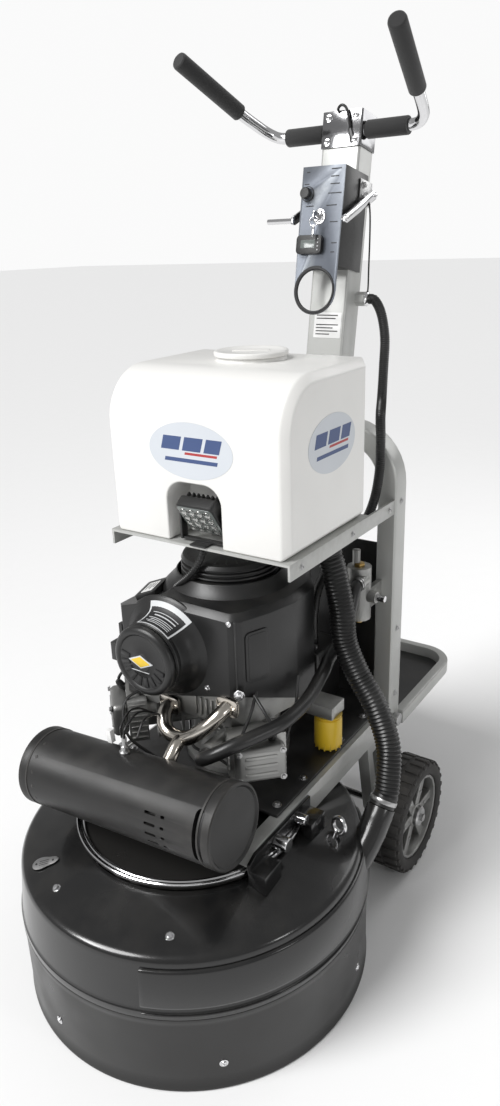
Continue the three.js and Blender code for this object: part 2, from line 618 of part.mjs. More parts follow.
add(machine, 'engine_plate', enginePlate(), BLACK_SATIN());
add(machine, 'engine_block', engineBlock(), CAST());
add(machine, 'valve_cover_left', valveCover(-1), CAST());
add(machine, 'valve_cover_right', valveCover(1), CAST());
add(machine, 'blower_housing', blowerHousing(), BLACK_SATIN());
add(machine, 'fan_screen', fanScreen(), BLACK_SATIN());
add(machine, 'crankshaft', join(
  turned([[0, PULLEY_Z - 4], [16, PULLEY_Z - 4], [16, 704 - GAP], [0, 704 - GAP]], SMALL),
  pulley(CRANK_PULLEY_R - 4, 12)).translate(0, CRANK_Y, 0), MILD());
add(machine, 'air_cleaner', airCleaner(), BLACK_SATIN());
add(machine, 'air_cleaner_cover', turned([
  [0, 58 + GAP], [78, 58 + GAP], [78, 71], [73, 76], [0, 76]])
  .rotateX(Math.PI / 2).translate(AIR_X, 0, AIR_Z), BLACK_SATIN());
add(machine, 'exhaust_header', exhaustHeader(), CHROME());
add(machine, 'muffler', muffler(), BLACK_SATIN());
add(machine, 'oil_filter', turned([
  [0, 446], [26, 446], [33, 452], [33, 530], [28, 536 - GAP], [0, 536 - GAP]], 20).translate(196, 285, 0),
YELLOW());
add(machine, 'battery', slab(roundedRect(-95, 95, 412, 536, 6), ENGINE_BASE + GAP, 600, 3, 3), BLACK_SATIN());

// ---- gas train ----
const GAS_Y = 478;
const PRIMER_Z = 762;
function gasRegulator() {
  const body = rod(30, 700, 836, SMALL, 176, GAS_Y);
  const drum = rodX(48, 136, 158, GAS_Y, 758, ROUND);
  const neck = rodX(22, 154, 178, GAS_Y, 758);
  const outlet = rodY(15, 436, 470, 194, 806);
  const inlet = rod(10, 832, 876, 8, 168, GAS_Y);
  const nose = rodX(15, 198, 224, GAS_Y, PRIMER_Z);
  const bracket = box(190, 202, GAS_Y, HOOP_Y - GAP, 726, 778);
  const socket = rodX(BUTTON_R + GAP, 210, 240, GAS_Y, PRIMER_Z);
  return cut(join(body, drum, neck, outlet, inlet, nose, bracket), socket);
}
add(machine, 'gas_regulator', gasRegulator(), CAST());
add(machine, 'primer_button', rodX(BUTTON_R, 215, 246, GAS_Y, PRIMER_Z), CHROME());

// engine's gas hose, from the regulator round the right of the engine to its intake
const VAPOUR_ROUTE = [
  [194, 435.5, 806], [194, 427, 806], [196, 408, 794], [199, 388, 762], [200, 360, 716], [198, 328, 690],
  [196, 290, 677], [206, 250, 670], [213, 217, 667], [222, 160, 656], [225, 110, 650], [220, 44, 646],
  [194, -16, 640], [172, -54, 634], [146, -78, 620], [118, -86, 602], [99, -77, 587], [92, -62, 580.5],
  [92, -47, 580]];
// dust hose, from the deck's port up to the spigot under the tank tray
const VACUUM_ROUTE = [
  [362.2, 232.6, 371], [363.6, 242.6, 385], [365, 254, 406], [352, 282, 500], [314, 292, 585],
  [268, 296, 650], [232, 298, 724], [222, 300, 800], [206, 300, 880], [190, 300, 930], [188, 300, 944],
  [188, 300, 953.5]];
// wiring, from the post's gland down past the tank to the battery
const CONDUIT_ROUTE = [
  [76.5, 696, 1438], [84, 696, 1438], [100, 694, 1434], [122, 684, 1404], [138, 672, 1350],
  [146, 652, 1286], [160, 616, 1216], [184, 560, 1182], [200, 530, 1130], [201, 524, 1060],
  [194, 510, 990], [170, 500, 930], [110, 500, 860], [60, 490, 760], [50, 476, 680], [50, 474, 630],
  [50, 474, 600.6]];
add(machine, 'vapour_hose', hose(VAPOUR_ROUTE, 15, 26, 8), BLACK_RUBBER());
add(machine, 'vacuum_hose', hose(VACUUM_ROUTE, 29, 16, 10), BLACK_RUBBER());
add(machine, 'conduit', hose(CONDUIT_ROUTE, 12, 30, 8), BLACK_RUBBER());
function vacuumPort() {
  const pipe = hose([[318, 92, 232], [345, 140, 275], [356, 190, 318], [360.6, 222, 356], [362, 232, 370]],
    33, 7, SMALL);
  return cut(pipe, deckEnvelope(GAP));
}
add(machine, 'vacuum_port', vacuumPort(), BLACK_GLOSS());

// ---- control post, built upright about its hinge: X across, Y through, Z along the post ----
function postHinge() {
  const base = box(-64, 64, HOOP_Y + 6, HOOP_Y + 92, HOOP_TOP + GAP, HOOP_TOP + 8);
  const ear = new THREE.Shape();
  ear.moveTo(HOOP_Y + 6, HOOP_TOP + 2);
  ear.lineTo(HOOP_Y + 92, HOOP_TOP + 2);
  ear.lineTo(PIVOT_Y + 24, PIVOT_Z);
  ear.absarc(PIVOT_Y, PIVOT_Z, 24, 0, Math.PI);
  const ears = [side(ear, 52, 62, 0, 6), side(ear, -62, -52, 0, 6)];
  const pin = rodX(8, -70, 70, PIVOT_Y, PIVOT_Z);
  return join(base, ...ears, pin);
}
add(machine, 'post_hinge', postHinge(), STEEL_GREY());

function handlePost() {
  const w = POST_W / 2;
  const d = POST_D / 2;
  const tube = slab(roundedRect(-w, w, -d, d, 6), -22, 553, 0, 3);
  const hollow = slab(roundedRect(-w + WALL, w - WALL, -d + WALL, d - WALL, 3), -30, 549, 0, 2);
  const bore = rodX(running(8), -80, 80, 0, 0);
  const leverBore = rodX(running(5), -80, 80, LEVER_U, LEVER_V);
  const gland = rodX(17, w - 1, 75, 20, 220, 6);
  return join(cut(tube, hollow, bore, leverBore), gland);
}

function barClamp() {
  const block = slab(roundedRect(-52, 52, -39, 39, 4), 553 + GAP, POST_TOP, 0, 2);
  const bore = rodX(running(BAR_R, 8), -80, 80, BAR_U, BAR_V);
  return cut(block, bore);
}

// holes through the panel and the box wall for the button and the key barrel
const controlHoles = () => [
  rodY(BUTTON_R + GAP, BOX_FRONT - 15, BOX_FRONT + 10, ...BUTTON_AT),
  rodY(running(KEY_R), BOX_FRONT - 15, BOX_FRONT + 10, ...KEY_AT)];

function controlBox() {
  const shell = box(-BOX_W / 2, BOX_W / 2, BOX_FRONT, BOX_BACK, BOX_LOW, BOX_HIGH);
  const saddle = box(-POST_W / 2 - GAP, POST_W / 2 + GAP, -POST_D / 2 - GAP, BOX_BACK + 5,
    BOX_LOW - 5, BOX_HIGH + 5);
  const inside = box(-BOX_W / 2 + 3, BOX_W / 2 - 3, BOX_FRONT + 3, -POST_D / 2 + 1, BOX_LOW + 3, BOX_HIGH - 3);
  return cut(shell, saddle, inside, ...controlHoles());
}

function facePlate() {
  const r = 55;
  const shape = new THREE.Shape();
  shape.moveTo(r, BOX_HIGH);
  shape.lineTo(-r, BOX_HIGH);
  shape.lineTo(-r, RING_V);
  shape.absarc(0, RING_V, r, Math.PI, 2 * Math.PI);
  const plate = front(shape, BOX_FRONT - GAP - 3, BOX_FRONT - GAP, 0, 10);
  const cup = rodY(48, BOX_FRONT - 20, BOX_FRONT + 20, 0, RING_V, ROUND);
  return cut(plate, cup, ...controlHoles());
}

function barHalf() {
  const alongGrip = [-0.14, 0, 0.5, 0.97].map((t) => GRIP_FROM.clone().lerp(GRIP_TO, t).toArray());
  return hose([[60, BAR_U, BAR_V], [120, BAR_U, BAR_V], [168, BAR_U, BAR_V], [190, BAR_U - 14, BAR_V + 4],
    [206, BAR_U - 48, BAR_V + 13], ...alongGrip], BAR_R, 12, 8);
}
function handlebar() {
  return join(rodX(BAR_R, -90, 90, BAR_U, BAR_V), barHalf(), mirrored(barHalf()));
}
function grip() {
  const along = GRIP_TO.clone().sub(GRIP_FROM);
  const length = along.length();
  const bore = BAR_R + 1;
  const sleeve = turned([[bore, 0], [GRIP_R, 0], [GRIP_R, length - 3], [GRIP_R - 3, length], [0, length],
    [0, length - 5], [bore, length - 5]], SMALL);
  const turn = new THREE.Quaternion().setFromUnitVectors(new THREE.Vector3(0, 0, 1), along.normalize());
  return sleeve.applyQuaternion(turn).translate(...GRIP_FROM.toArray());
}

function throttleLever() {
  const arm = (x0, x1) => side(outline([[LEVER_U + 9, LEVER_V - 8], [LEVER_U + 9, LEVER_V + 8],
    [LEVER_U - 8, LEVER_V + 8], [-116, 388], [-116, 372], [-104, 372]]), x0, x1);
  const shaft = rodX(5, -71, 76, LEVER_U, LEVER_V);
  const handle = rodX(6, -140, -67, -108, 381);
  const tip = rodX(6, 60, 74, -110, 381, 12);
  return join(arm(66, 71), arm(-71, -66), shaft, handle, tip);
}

add(post, 'handle_post', handlePost(), STEEL_GREY());
add(post, 'bar_clamp', barClamp(), CHROME());
add(post, 'control_box', controlBox(), BLACK_SATIN());
add(post, 'face_plate', facePlate(), PANEL());
add(post, 'stop_button', rodY(BUTTON_R, BOX_FRONT - 16, BOX_FRONT + 4, ...BUTTON_AT), BLACK_SATIN());
add(post, 'ignition_key', join(
  rodY(KEY_R, BOX_FRONT - 9, BOX_FRONT + 4, ...KEY_AT),
  box(KEY_AT[0] - 2, KEY_AT[0] + 2, BOX_FRONT - 32, BOX_FRONT - 8, KEY_AT[1] - 8, KEY_AT[1] + 8)), CHROME());
add(post, 'throttle_lever', throttleLever(), CHROME());
add(post, 'handlebar', handlebar(), CHROME());
for (const name of SIDES) {
  add(post, `grip_${name}`, onSide(grip(), name), BLACK_RUBBER());
}

post.rotation.x = -POST_LEAN;
post.position.set(0, PIVOT_Y, PIVOT_Z);
machine.add(post);
machine.position.y = -CENTRE_Y;

const group = new THREE.Group();
group.add(machine);
export default group;
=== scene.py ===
import json
import math

import bmesh
import bpy
from mathutils import Matrix, Vector


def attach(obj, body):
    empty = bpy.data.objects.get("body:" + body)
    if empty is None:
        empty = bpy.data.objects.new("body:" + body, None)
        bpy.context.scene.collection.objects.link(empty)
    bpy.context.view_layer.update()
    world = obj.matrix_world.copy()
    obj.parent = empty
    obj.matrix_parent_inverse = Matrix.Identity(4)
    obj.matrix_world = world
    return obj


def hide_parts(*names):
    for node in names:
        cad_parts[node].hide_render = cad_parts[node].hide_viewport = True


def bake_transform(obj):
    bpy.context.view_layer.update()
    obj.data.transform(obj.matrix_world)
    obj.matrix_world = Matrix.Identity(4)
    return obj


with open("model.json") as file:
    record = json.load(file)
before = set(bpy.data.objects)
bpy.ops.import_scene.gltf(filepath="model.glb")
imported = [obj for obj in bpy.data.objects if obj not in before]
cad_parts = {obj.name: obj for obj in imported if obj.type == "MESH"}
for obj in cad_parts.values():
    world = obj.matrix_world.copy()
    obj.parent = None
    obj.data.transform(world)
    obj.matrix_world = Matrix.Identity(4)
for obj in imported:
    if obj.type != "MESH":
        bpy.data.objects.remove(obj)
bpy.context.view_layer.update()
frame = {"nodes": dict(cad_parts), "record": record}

# ---- places, in millimetres from the foot of the spindle ----
DECK_BACK = 305                # how far the part's origin lies behind the spindle
PIVOT = (637, 1225)            # control post's hinge, behind and above
LEAN = math.radians(10.3)      # how far the post leans back
AXLE = (504, 150)              # wheel axle, behind and above
CRANK_Y = 190                  # engine crank, with the fan screen on it
FILTER_AXIS = (-45, 770)       # centre line of the air cleaner, across and above
TANK_CAP_Y = 300
LAMP_MIDDLE = (12, 88, 1052)
MUFFLER_MIDDLE = (-20, -161, 511)
PANEL_FACE = -104.4            # switch panel's face, in front of the post's hinge line
FRONT, UP, RIGHT = (0, -1, 0), (0, 0, 1), (1, 0, 0)
SIDES = (("left", -1), ("right", 1))

RECORD = frame["record"]
SLOT_OF = {part["node"]: part["material_slot"] for part in RECORD["subparts"]}
BODY_OF = {node: body for body, nodes in RECORD["behaviour"]["bodies"].items() for node in nodes}


def deck(x, y, z):
    """A point measured from the spindle, in millimetres, as metres in the part's frame."""
    return Vector((x, y - DECK_BACK, z)) / 1000


def on_post(x, u, v):
    """A point across and along the leaning post, in millimetres from its hinge."""
    y = PIVOT[0] + u * math.cos(LEAN) + v * math.sin(LEAN)
    return deck(x, y, PIVOT[1] - u * math.sin(LEAN) + v * math.cos(LEAN))


def shift(x, y, z):
    """A move along the three axes."""
    return Matrix.Translation((x, y, z))


def spin(angle, axis="Z"):
    """A turn in radians about one axis."""
    return Matrix.Rotation(angle, 4, axis)


def facing(origin, normal, up=UP):
    """A place whose own Z runs along normal, for a flat detail on a face."""
    z = Vector(normal).normalized()
    x = Vector(up).cross(z)
    if x.length < 0.01:
        x = Vector(RIGHT)
    x.normalize()
    y = z.cross(x)
    turn = Matrix((x, y, z)).transposed().to_4x4()
    return Matrix.Translation(Vector(origin)) @ turn


def on_panel(x, v, u=PANEL_FACE):
    """A place on the switch panel, facing forwards."""
    return facing((x, u, v), FRONT)


def ring_angles(count, offset=0.0):
    """Even angles round a circle, the first one offset steps past zero."""
    return [2 * math.pi * (k + offset) / count for k in range(count)]


def circle(radius, count, offset=0.0):
    """Even points round a circle."""
    return [(radius * math.cos(angle), radius * math.sin(angle)) for angle in ring_angles(count, offset)]


TO_METRES = Matrix.Diagonal((0.001, 0.001, 0.001, 1))
ALONG_X = spin(math.radians(90), "Y")
DECK_FRAME = Matrix.Translation(deck(0, 0, 0)) @ TO_METRES
POST_FRAME = Matrix.Translation(on_post(0, 0, 0)) @ spin(-LEAN, "X") @ TO_METRES
MUFFLER_FRAME = DECK_FRAME @ shift(*MUFFLER_MIDDLE) @ spin(math.radians(0.7)) @ spin(math.radians(-4.5), "Y")
CRANK_FRAME = DECK_FRAME @ shift(0, CRANK_Y, 0)
FILTER_FRAME = DECK_FRAME @ shift(FILTER_AXIS[0], 0, FILTER_AXIS[1]) @ spin(math.radians(90), "X")

# ---- camera ----
EYE = (0.9942, -1.4814, 1.5741)              # metres, in the part's frame
YAW, PITCH, ROLL = 0.6026, 0.3637, -0.0355   # radians to the left, downwards and round the view
SENSOR_HEIGHT, FOCAL_LENGTH = 36, 26.49      # millimetres


def set_camera():
    """Looks down at the machine from its front right."""
    ahead = Vector((-math.sin(YAW) * math.cos(PITCH), math.cos(YAW) * math.cos(PITCH), -math.sin(PITCH)))
    right = Vector((math.cos(YAW), math.sin(YAW), 0))
    above = right.cross(ahead)
    rolled_right = right * math.cos(ROLL) + above * math.sin(ROLL)
    rolled_up = above * math.cos(ROLL) - right * math.sin(ROLL)
    turn = Matrix((rolled_right, rolled_up, -ahead)).transposed().to_4x4()
    lens = bpy.data.cameras.new("view")
    lens.sensor_fit = "VERTICAL"
    lens.sensor_height = SENSOR_HEIGHT
    lens.lens = FOCAL_LENGTH
    camera = bpy.data.objects.new("view", lens)
    camera.matrix_world = Matrix.Translation(EYE) @ turn
    bpy.context.collection.objects.link(camera)
    bpy.context.scene.camera = camera


set_camera()


# ---- shader groups ----
def shader_group(name, inputs, outputs):
    """Starts a group with number inputs, each with its usual value, and number outputs."""
    tree = bpy.data.node_groups.new(name, "ShaderNodeTree")
    for label, value in inputs:
        socket = tree.interface.new_socket(label, in_out="INPUT", socket_type="NodeSocketFloat")
        socket.default_value = value
    for label in outputs:
        tree.interface.new_socket(label, in_out="OUTPUT", socket_type="NodeSocketFloat")
    return tree, tree.nodes.new("NodeGroupInput"), tree.nodes.new("NodeGroupOutput")


def node(tree, kind, **settings):
    """Adds a node. A keyword such as in_2 sets the input of that number, and any other a setting."""
    made = tree.nodes.new(kind)
    for key, value in settings.items():
        if key.startswith("in_"):
            made.inputs[int(key[3:])].default_value = value
        else:
            setattr(made, key, value)
    return made


def surface_grain():
    """Fine and broad mottling of a moulded, painted or cast surface."""
    tree, given, out = shader_group("surface_grain", [("Scale", 400), ("Detail", 3)], ["Fine", "Broad"])
    link = tree.links.new
    place = node(tree, "ShaderNodeTexCoord")
    fine = node(tree, "ShaderNodeTexNoise")
    broad = node(tree, "ShaderNodeTexNoise", in_2=9.0)
    for noise in (fine, broad):
        link(place.outputs["Object"], noise.inputs["Vector"])
    link(given.outputs["Scale"], fine.inputs["Scale"])
    link(given.outputs["Detail"], fine.inputs["Detail"])
    link(fine.outputs["Fac"], out.inputs["Fine"])
    link(broad.outputs["Fac"], out.inputs["Broad"])
    return tree


def edge_wear():
    """A mask that is white along rubbed outer edges."""
    tree, given, out = shader_group("edge_wear", [("Start", 0.53), ("End", 0.6)], ["Mask"])
    link = tree.links.new
    shape = node(tree, "ShaderNodeNewGeometry")
    ramp = node(tree, "ShaderNodeMapRange")
    place = node(tree, "ShaderNodeTexCoord")
    patch = node(tree, "ShaderNodeTexNoise", in_2=70.0)
    both = node(tree, "ShaderNodeMath", operation="MULTIPLY")
    link(shape.outputs["Pointiness"], ramp.inputs["Value"])
    link(given.outputs["Start"], ramp.inputs["From Min"])
    link(given.outputs["End"], ramp.inputs["From Max"])
    link(place.outputs["Object"], patch.inputs["Vector"])
    link(ramp.outputs["Result"], both.inputs[0])
    link(patch.outputs["Fac"], both.inputs[1])
    link(both.outputs[0], out.inputs["Mask"])
    return tree


def settled_dust():
    """A mask of dust that lies on upward faces, in soft patches."""
    tree, given, out = shader_group("settled_dust", [("Amount", 0.2)], ["Mask"])
    link = tree.links.new
    shape = node(tree, "ShaderNodeNewGeometry")
    split = node(tree, "ShaderNodeSeparateXYZ")
    place = node(tree, "ShaderNodeTexCoord")
    patch = node(tree, "ShaderNodeTexNoise", in_2=16.0, in_3=5.0)
    upward = node(tree, "ShaderNodeMapRange", in_1=0.35, in_2=1.0)
    cloud = node(tree, "ShaderNodeMapRange", in_1=0.4, in_2=0.72)
    first = node(tree, "ShaderNodeMath", operation="MULTIPLY")
    last = node(tree, "ShaderNodeMath", operation="MULTIPLY")
    link(shape.outputs["Normal"], split.inputs[0])
    link(split.outputs["Z"], upward.inputs["Value"])
    link(place.outputs["Object"], patch.inputs["Vector"])
    link(patch.outputs["Fac"], cloud.inputs["Value"])
    link(upward.outputs["Result"], first.inputs[0])
    link(cloud.outputs["Result"], first.inputs[1])
    link(first.outputs[0], last.inputs[0])
    link(given.outputs["Amount"], last.inputs[1])
    link(last.outputs[0], out.inputs["Mask"])
    return tree


GRAIN, WEAR, DUST = surface_grain(), edge_wear(), settled_dust()
DUST_COLOUR = (0.3, 0.28, 0.25, 1)
COAT_ROUGHNESS = 0.08
RELIEF = 0.0006                # height of the finest surface relief, metres


def finish(name, base, shade, rough=0.4, spread=0.1, metallic=0.0, scale=400, depth=0.1, wear=None, dust=0.0,
           coat=0.0, specular=0.5, sheen=0.0, anisotropic=0.0):
    """One finish: two mottled tones, uneven gloss, fine relief, rubbed edges and settled dust."""
    material = bpy.data.materials.new(name)
    material.use_nodes = True
    tree = material.node_tree
    link = tree.links.new
    shader = tree.nodes["Principled BSDF"]
    shader.inputs["Metallic"].default_value = metallic
    shader.inputs["Specular IOR Level"].default_value = specular
    shader.inputs["Coat Weight"].default_value = coat
    shader.inputs["Coat Roughness"].default_value = COAT_ROUGHNESS
    shader.inputs["Sheen Weight"].default_value = sheen
    shader.inputs["Anisotropic"].default_value = anisotropic
    grain = node(tree, "ShaderNodeGroup", node_tree=GRAIN)
    grain.inputs["Scale"].default_value = scale
    tone = node(tree, "ShaderNodeMix", data_type="RGBA")
    tone.inputs["A"].default_value = (*base, 1)
    tone.inputs["B"].default_value = (*shade, 1)
    link(grain.outputs["Broad"], tone.inputs["Factor"])
    colour = tone.outputs["Result"]
    if wear:
        rubbed = node(tree, "ShaderNodeGroup", node_tree=WEAR)
        worn = node(tree, "ShaderNodeMix", data_type="RGBA")
        worn.inputs["B"].default_value = (*wear, 1)
        link(colour, worn.inputs["A"])
        link(rubbed.outputs["Mask"], worn.inputs["Factor"])
        colour = worn.outputs["Result"]
    gloss = node(tree, "ShaderNodeMapRange", in_1=0.3, in_2=0.7, in_3=rough - spread / 2,
                 in_4=rough + spread / 2)
    link(grain.outputs["Broad"], gloss.inputs["Value"])
    roughness = gloss.outputs["Result"]
    if dust:
        film = node(tree, "ShaderNodeGroup", node_tree=DUST)
        film.inputs["Amount"].default_value = dust
        dusty = node(tree, "ShaderNodeMix", data_type="RGBA")
        dusty.inputs["B"].default_value = DUST_COLOUR
        link(colour, dusty.inputs["A"])
        link(film.outputs["Mask"], dusty.inputs["Factor"])
        colour = dusty.outputs["Result"]
        duller = node(tree, "ShaderNodeMath", operation="ADD", use_clamp=True)
        link(roughness, duller.inputs[0])
        link(film.outputs["Mask"], duller.inputs[1])
        roughness = duller.outputs[0]
    relief = node(tree, "ShaderNodeBump")
    relief.inputs["Strength"].default_value = depth
    relief.inputs["Distance"].default_value = RELIEF
    link(grain.outputs["Fine"], relief.inputs["Height"])
    link(relief.outputs["Normal"], shader.inputs["Normal"])
    link(colour, shader.inputs["Base Color"])
    link(roughness, shader.inputs["Roughness"])
    return material


BLACK, SOOT = (0.006, 0.006, 0.0063), (0.009, 0.009, 0.009)
FINISHES = {
    "frame_paint": finish("silver_enamel", (0.52, 0.525, 0.51), (0.45, 0.455, 0.44), 0.34, 0.12, 0.3, 900,
                          0.12,
                          wear=(0.3, 0.3, 0.29), dust=0.1),
    "deck_black": finish("deck_gloss", BLACK, SOOT, 0.22, 0.12, 0, 260, 0.06, dust=0.03, coat=0.3),
    "skirt_rubber": finish("skirt_rubber", (0.007, 0.007, 0.007), (0.011, 0.0105, 0.010), 0.34, 0.16, 0, 320,
                           0.2,
                           dust=0.05),
    "satin_black": finish("moulded_black", (0.007, 0.007, 0.0073), (0.011, 0.011, 0.011), 0.36, 0.14, 0, 700,
                          0.25,
                          wear=(0.03, 0.03, 0.03), dust=0.04),
    "muffler_black": finish("heat_proof_black", (0.009, 0.009, 0.009), (0.015, 0.0145, 0.014), 0.42, 0.16,
                            0.1, 800,
                            0.3, wear=(0.05, 0.047, 0.044), dust=0.05),
    "hose_rubber": finish("hose_rubber", (0.008, 0.008, 0.008), (0.012, 0.012, 0.012), 0.34, 0.14, 0, 500,
                          0.2,
                          dust=0.04),
    "grip_foam": finish("grip_foam", (0.011, 0.011, 0.0115), (0.018, 0.018, 0.018), 0.85, 0.1, 0, 1500, 0.7,
                        sheen=0.25),
    "tyre_rubber": finish("tyre_rubber", (0.02, 0.0195, 0.019), (0.035, 0.033, 0.031), 0.72, 0.14, 0, 600,
                          0.4,
                          wear=(0.05, 0.047, 0.044), dust=0.1),
    "bright_chrome": finish("bright_chrome", (0.78, 0.78, 0.79), (0.7, 0.7, 0.71), 0.1, 0.08, 1, 300, 0.02,
                            dust=0.08),
    "cast_metal": finish("cast_alloy", (0.36, 0.36, 0.35), (0.24, 0.24, 0.235), 0.4, 0.16, 0.85, 900, 0.5,
                         wear=(0.6, 0.6, 0.58), dust=0.12),
    "machined_steel": finish("machined_steel", (0.5, 0.5, 0.5), (0.4, 0.4, 0.4), 0.3, 0.12, 1, 1200, 0.15,
                             anisotropic=0.4),
    "exhaust_steel": finish("heat_tinted_steel", (0.62, 0.6, 0.57), (0.5, 0.45, 0.38), 0.2, 0.12, 1, 240,
                            0.05),
    "tank_white": finish("tank_white", (0.80, 0.795, 0.775), (0.76, 0.755, 0.735), 0.36, 0.1, 0, 500, 0.14,
                         coat=0.08),
    "filter_yellow": finish("filter_yellow", (0.82, 0.56, 0.03), (0.74, 0.48, 0.02), 0.34, 0.1, 0, 500, 0.1,
                            wear=(0.5, 0.35, 0.05), dust=0.15),
    "panel_grey": finish("panel_grey", (0.20, 0.22, 0.255), (0.09, 0.10, 0.12), 0.34, 0.1, 0.45, 900, 0.12,
                         wear=(0.3, 0.32, 0.34)),
    "pad_fibre": finish("hair_pad", (0.5, 0.33, 0.19), (0.36, 0.22, 0.12), 0.95, 0.05, 0, 1800, 1.0,
                        sheen=0.4),
}
MARK_DARK = finish("printed_dark", (0.008, 0.008, 0.009), (0.013, 0.013, 0.014), 0.5, 0.1, 0, 600, 0.05)
MARK_PALE = finish("printed_pale", (0.62, 0.63, 0.64), (0.55, 0.56, 0.57), 0.42, 0.1, 0, 600, 0.05)
MARK_BLUE = finish("printed_blue", (0.05, 0.085, 0.21), (0.04, 0.07, 0.18), 0.4, 0.1, 0, 600, 0.05)
MARK_RED = finish("printed_red", (0.42, 0.04, 0.04), (0.36, 0.035, 0.035), 0.4, 0.1, 0, 600, 0.05)
DECAL_GREY = finish("decal_grey", (0.60, 0.63, 0.67), (0.55, 0.58, 0.62), 0.34, 0.1, 0, 600, 0.04)
LABEL_WHITE = finish("label_white", (0.8, 0.8, 0.79), (0.74, 0.74, 0.73), 0.42, 0.1, 0, 600, 0.05)
GLASS_GREY = finish("meter_glass", (0.16, 0.18, 0.17), (0.12, 0.135, 0.13), 0.12, 0.06, 0, 300, 0.02,
                    coat=0.5)
LENS_GREY = finish("lamp_reflector", (0.5, 0.5, 0.48), (0.36, 0.36, 0.35), 0.2, 0.1, 0.8, 300, 0.1, coat=0.6)
SMOKED = finish("smoked_chrome", (0.42, 0.42, 0.43), (0.2, 0.2, 0.205), 0.14, 0.1, 1, 200, 0.06)
PLATE_METAL = finish("top_plate_metal", (0.06, 0.058, 0.055), (0.035, 0.034, 0.033), 0.3, 0.14, 0.7, 500,
                     0.15)
BRASS = finish("brass_fitting", (0.55, 0.38, 0.14), (0.42, 0.28, 0.1), 0.28, 0.12, 1, 500, 0.1, dust=0.15)

for name, slot in SLOT_OF.items():
    cad = frame["nodes"][name]
    cad.data.materials.clear()
    cad.data.materials.append(FINISHES[slot])


# ---- mesh helpers ----
WELD, CAD_WELD = 2e-6, 1e-5    # points closer than this become one, metres
CAD_FLAT = math.radians(1.5)   # faces of the CAD solid this close to flat become one


class Shape:
    """Gathers the solids of one piece, in millimetres, with a finish number for each."""

    def __init__(self, place=DECK_FRAME):
        self.place = place
        self.verts, self.faces, self.tones = [], [], []

    def add(self, verts, faces, at=None, tone=0):
        """Takes in one solid, put at a place inside the shape's own."""
        base = len(self.verts)
        move = self.place @ at if at is not None else self.place
        self.verts += [move @ Vector(v) for v in verts]
        self.faces += [tuple(base + i for i in face) for face in faces]
        self.tones += [tone] * len(faces)
        return self

    def turned(self, profile, at=None, sides=48, tone=0, start=0.0, sweep=2 * math.pi):
        """A closed profile of (radius, height) turned about Z."""
        full = abs(sweep - 2 * math.pi) < 1e-6
        steps = sides if full else sides + 1
        verts, faces, count = [], [], len(profile)
        for i in range(steps):
            angle = start + sweep * i / sides
            verts += [(r * math.cos(angle), r * math.sin(angle), h) for r, h in profile]
        for i in range(sides):
            a, b = i * count, ((i + 1) % steps) * count
            faces += [(a + j, b + j, b + (j + 1) % count, a + (j + 1) % count) for j in range(count)]
        if not full:
            faces += [tuple(range(count)), tuple(reversed(range(sides * count, (sides + 1) * count)))]
        return self.add(verts, faces, at, tone)

    def disc(self, r, low, high, at=None, sides=32, tone=0, chamfer=0.0):
        """A round plate or pin with chamfered rims."""
        c = chamfer
        profile = [(0, low), (r - c, low), (r, low + c), (r, high - c), (r - c, high), (0, high)]
        return self.turned(profile, at, sides, tone)

    def block(self, low, high, at=None, tone=0):
        """A box between two corners."""
        (x0, y0, z0), (x1, y1, z1) = low, high
        verts = [(x, y, z) for z in (z0, z1) for y in (y0, y1) for x in (x0, x1)]
        faces = [(0, 2, 3, 1), (4, 5, 7, 6), (0, 1, 5, 4), (2, 6, 7, 3), (0, 4, 6, 2), (1, 3, 7, 5)]
        return self.add(verts, faces, at, tone)

    def sheet(self, outline, low, high, at=None, tone=0):
        """A flat outline in X and Y given a thickness."""
        n = len(outline)
        verts = [(x, y, low) for x, y in outline] + [(x, y, high) for x, y in outline]
        faces = [tuple(reversed(range(n))), tuple(range(n, 2 * n))]
        faces += [(i, (i + 1) % n, n + (i + 1) % n, n + i) for i in range(n)]
        return self.add(verts, faces, at, tone)

    def pipe(self, points, radius, sides=16, at=None, tone=0, closed=False):
        """A round bar along points; radius is a number, or a value for each point."""
        points = [Vector(p) for p in points]
        n = len(points)
        radii = list(radius) if hasattr(radius, "__len__") else [radius] * n
        ways = []
        for i in range(n):
            a = points[i - 1] if i or closed else points[i]
            b = points[(i + 1) % n] if i < n - 1 or closed else points[i]
            ways.append((b - a).normalized())
        side = ways[0].orthogonal().normalized()
        verts, faces = [], []
        for i in range(n):
            side = (side - ways[i] * side.dot(ways[i])).normalized()
            other = ways[i].cross(side)
            for angle in ring_angles(sides):
                verts.append(points[i] + (side * math.cos(angle) + other * math.sin(angle)) * radii[i])
        for i in range(n if closed else n - 1):
            a, b = i * sides, ((i + 1) % n) * sides
            faces += [(a + k, a + (k + 1) % sides, b + (k + 1) % sides, b + k) for k in range(sides)]
        if not closed:
            faces += [tuple(reversed(range(sides))), tuple(range((n - 1) * sides, n * sides))]
        return self.add(verts, faces, at, tone)

    def hex_bolt(self, at, size=7, head=6, washer=True, tone=0):
        """A hexagon head on a washer; its place's Z points outwards."""
        if washer:
            self.disc(size * 1.45, -0.5, 1.2, at, 24, tone, 0.3)
        low = 1.0 if washer else -0.5
        self.sheet(circle(size, 6), low, low + head, at, tone)
        return self.disc(size * 0.82, low + head - 0.2, low + head + 0.9, at, 24, tone, 0.5)

    def dome_screw(self, at, r=6, tone=0):
        """A low round head with a round socket rim."""
        self.disc(r * 1.5, -0.5, 1.0, at, 24, tone, 0.3)
        profile = [(0, 0.5), (r, 0.5), (r, 1.6), (r * 0.9, 2.8), (r * 0.66, 3.7), (r * 0.42, 4.0),
                   (r * 0.4, 2.4), (0, 2.4)]
        return self.turned(profile, at, 24, tone)


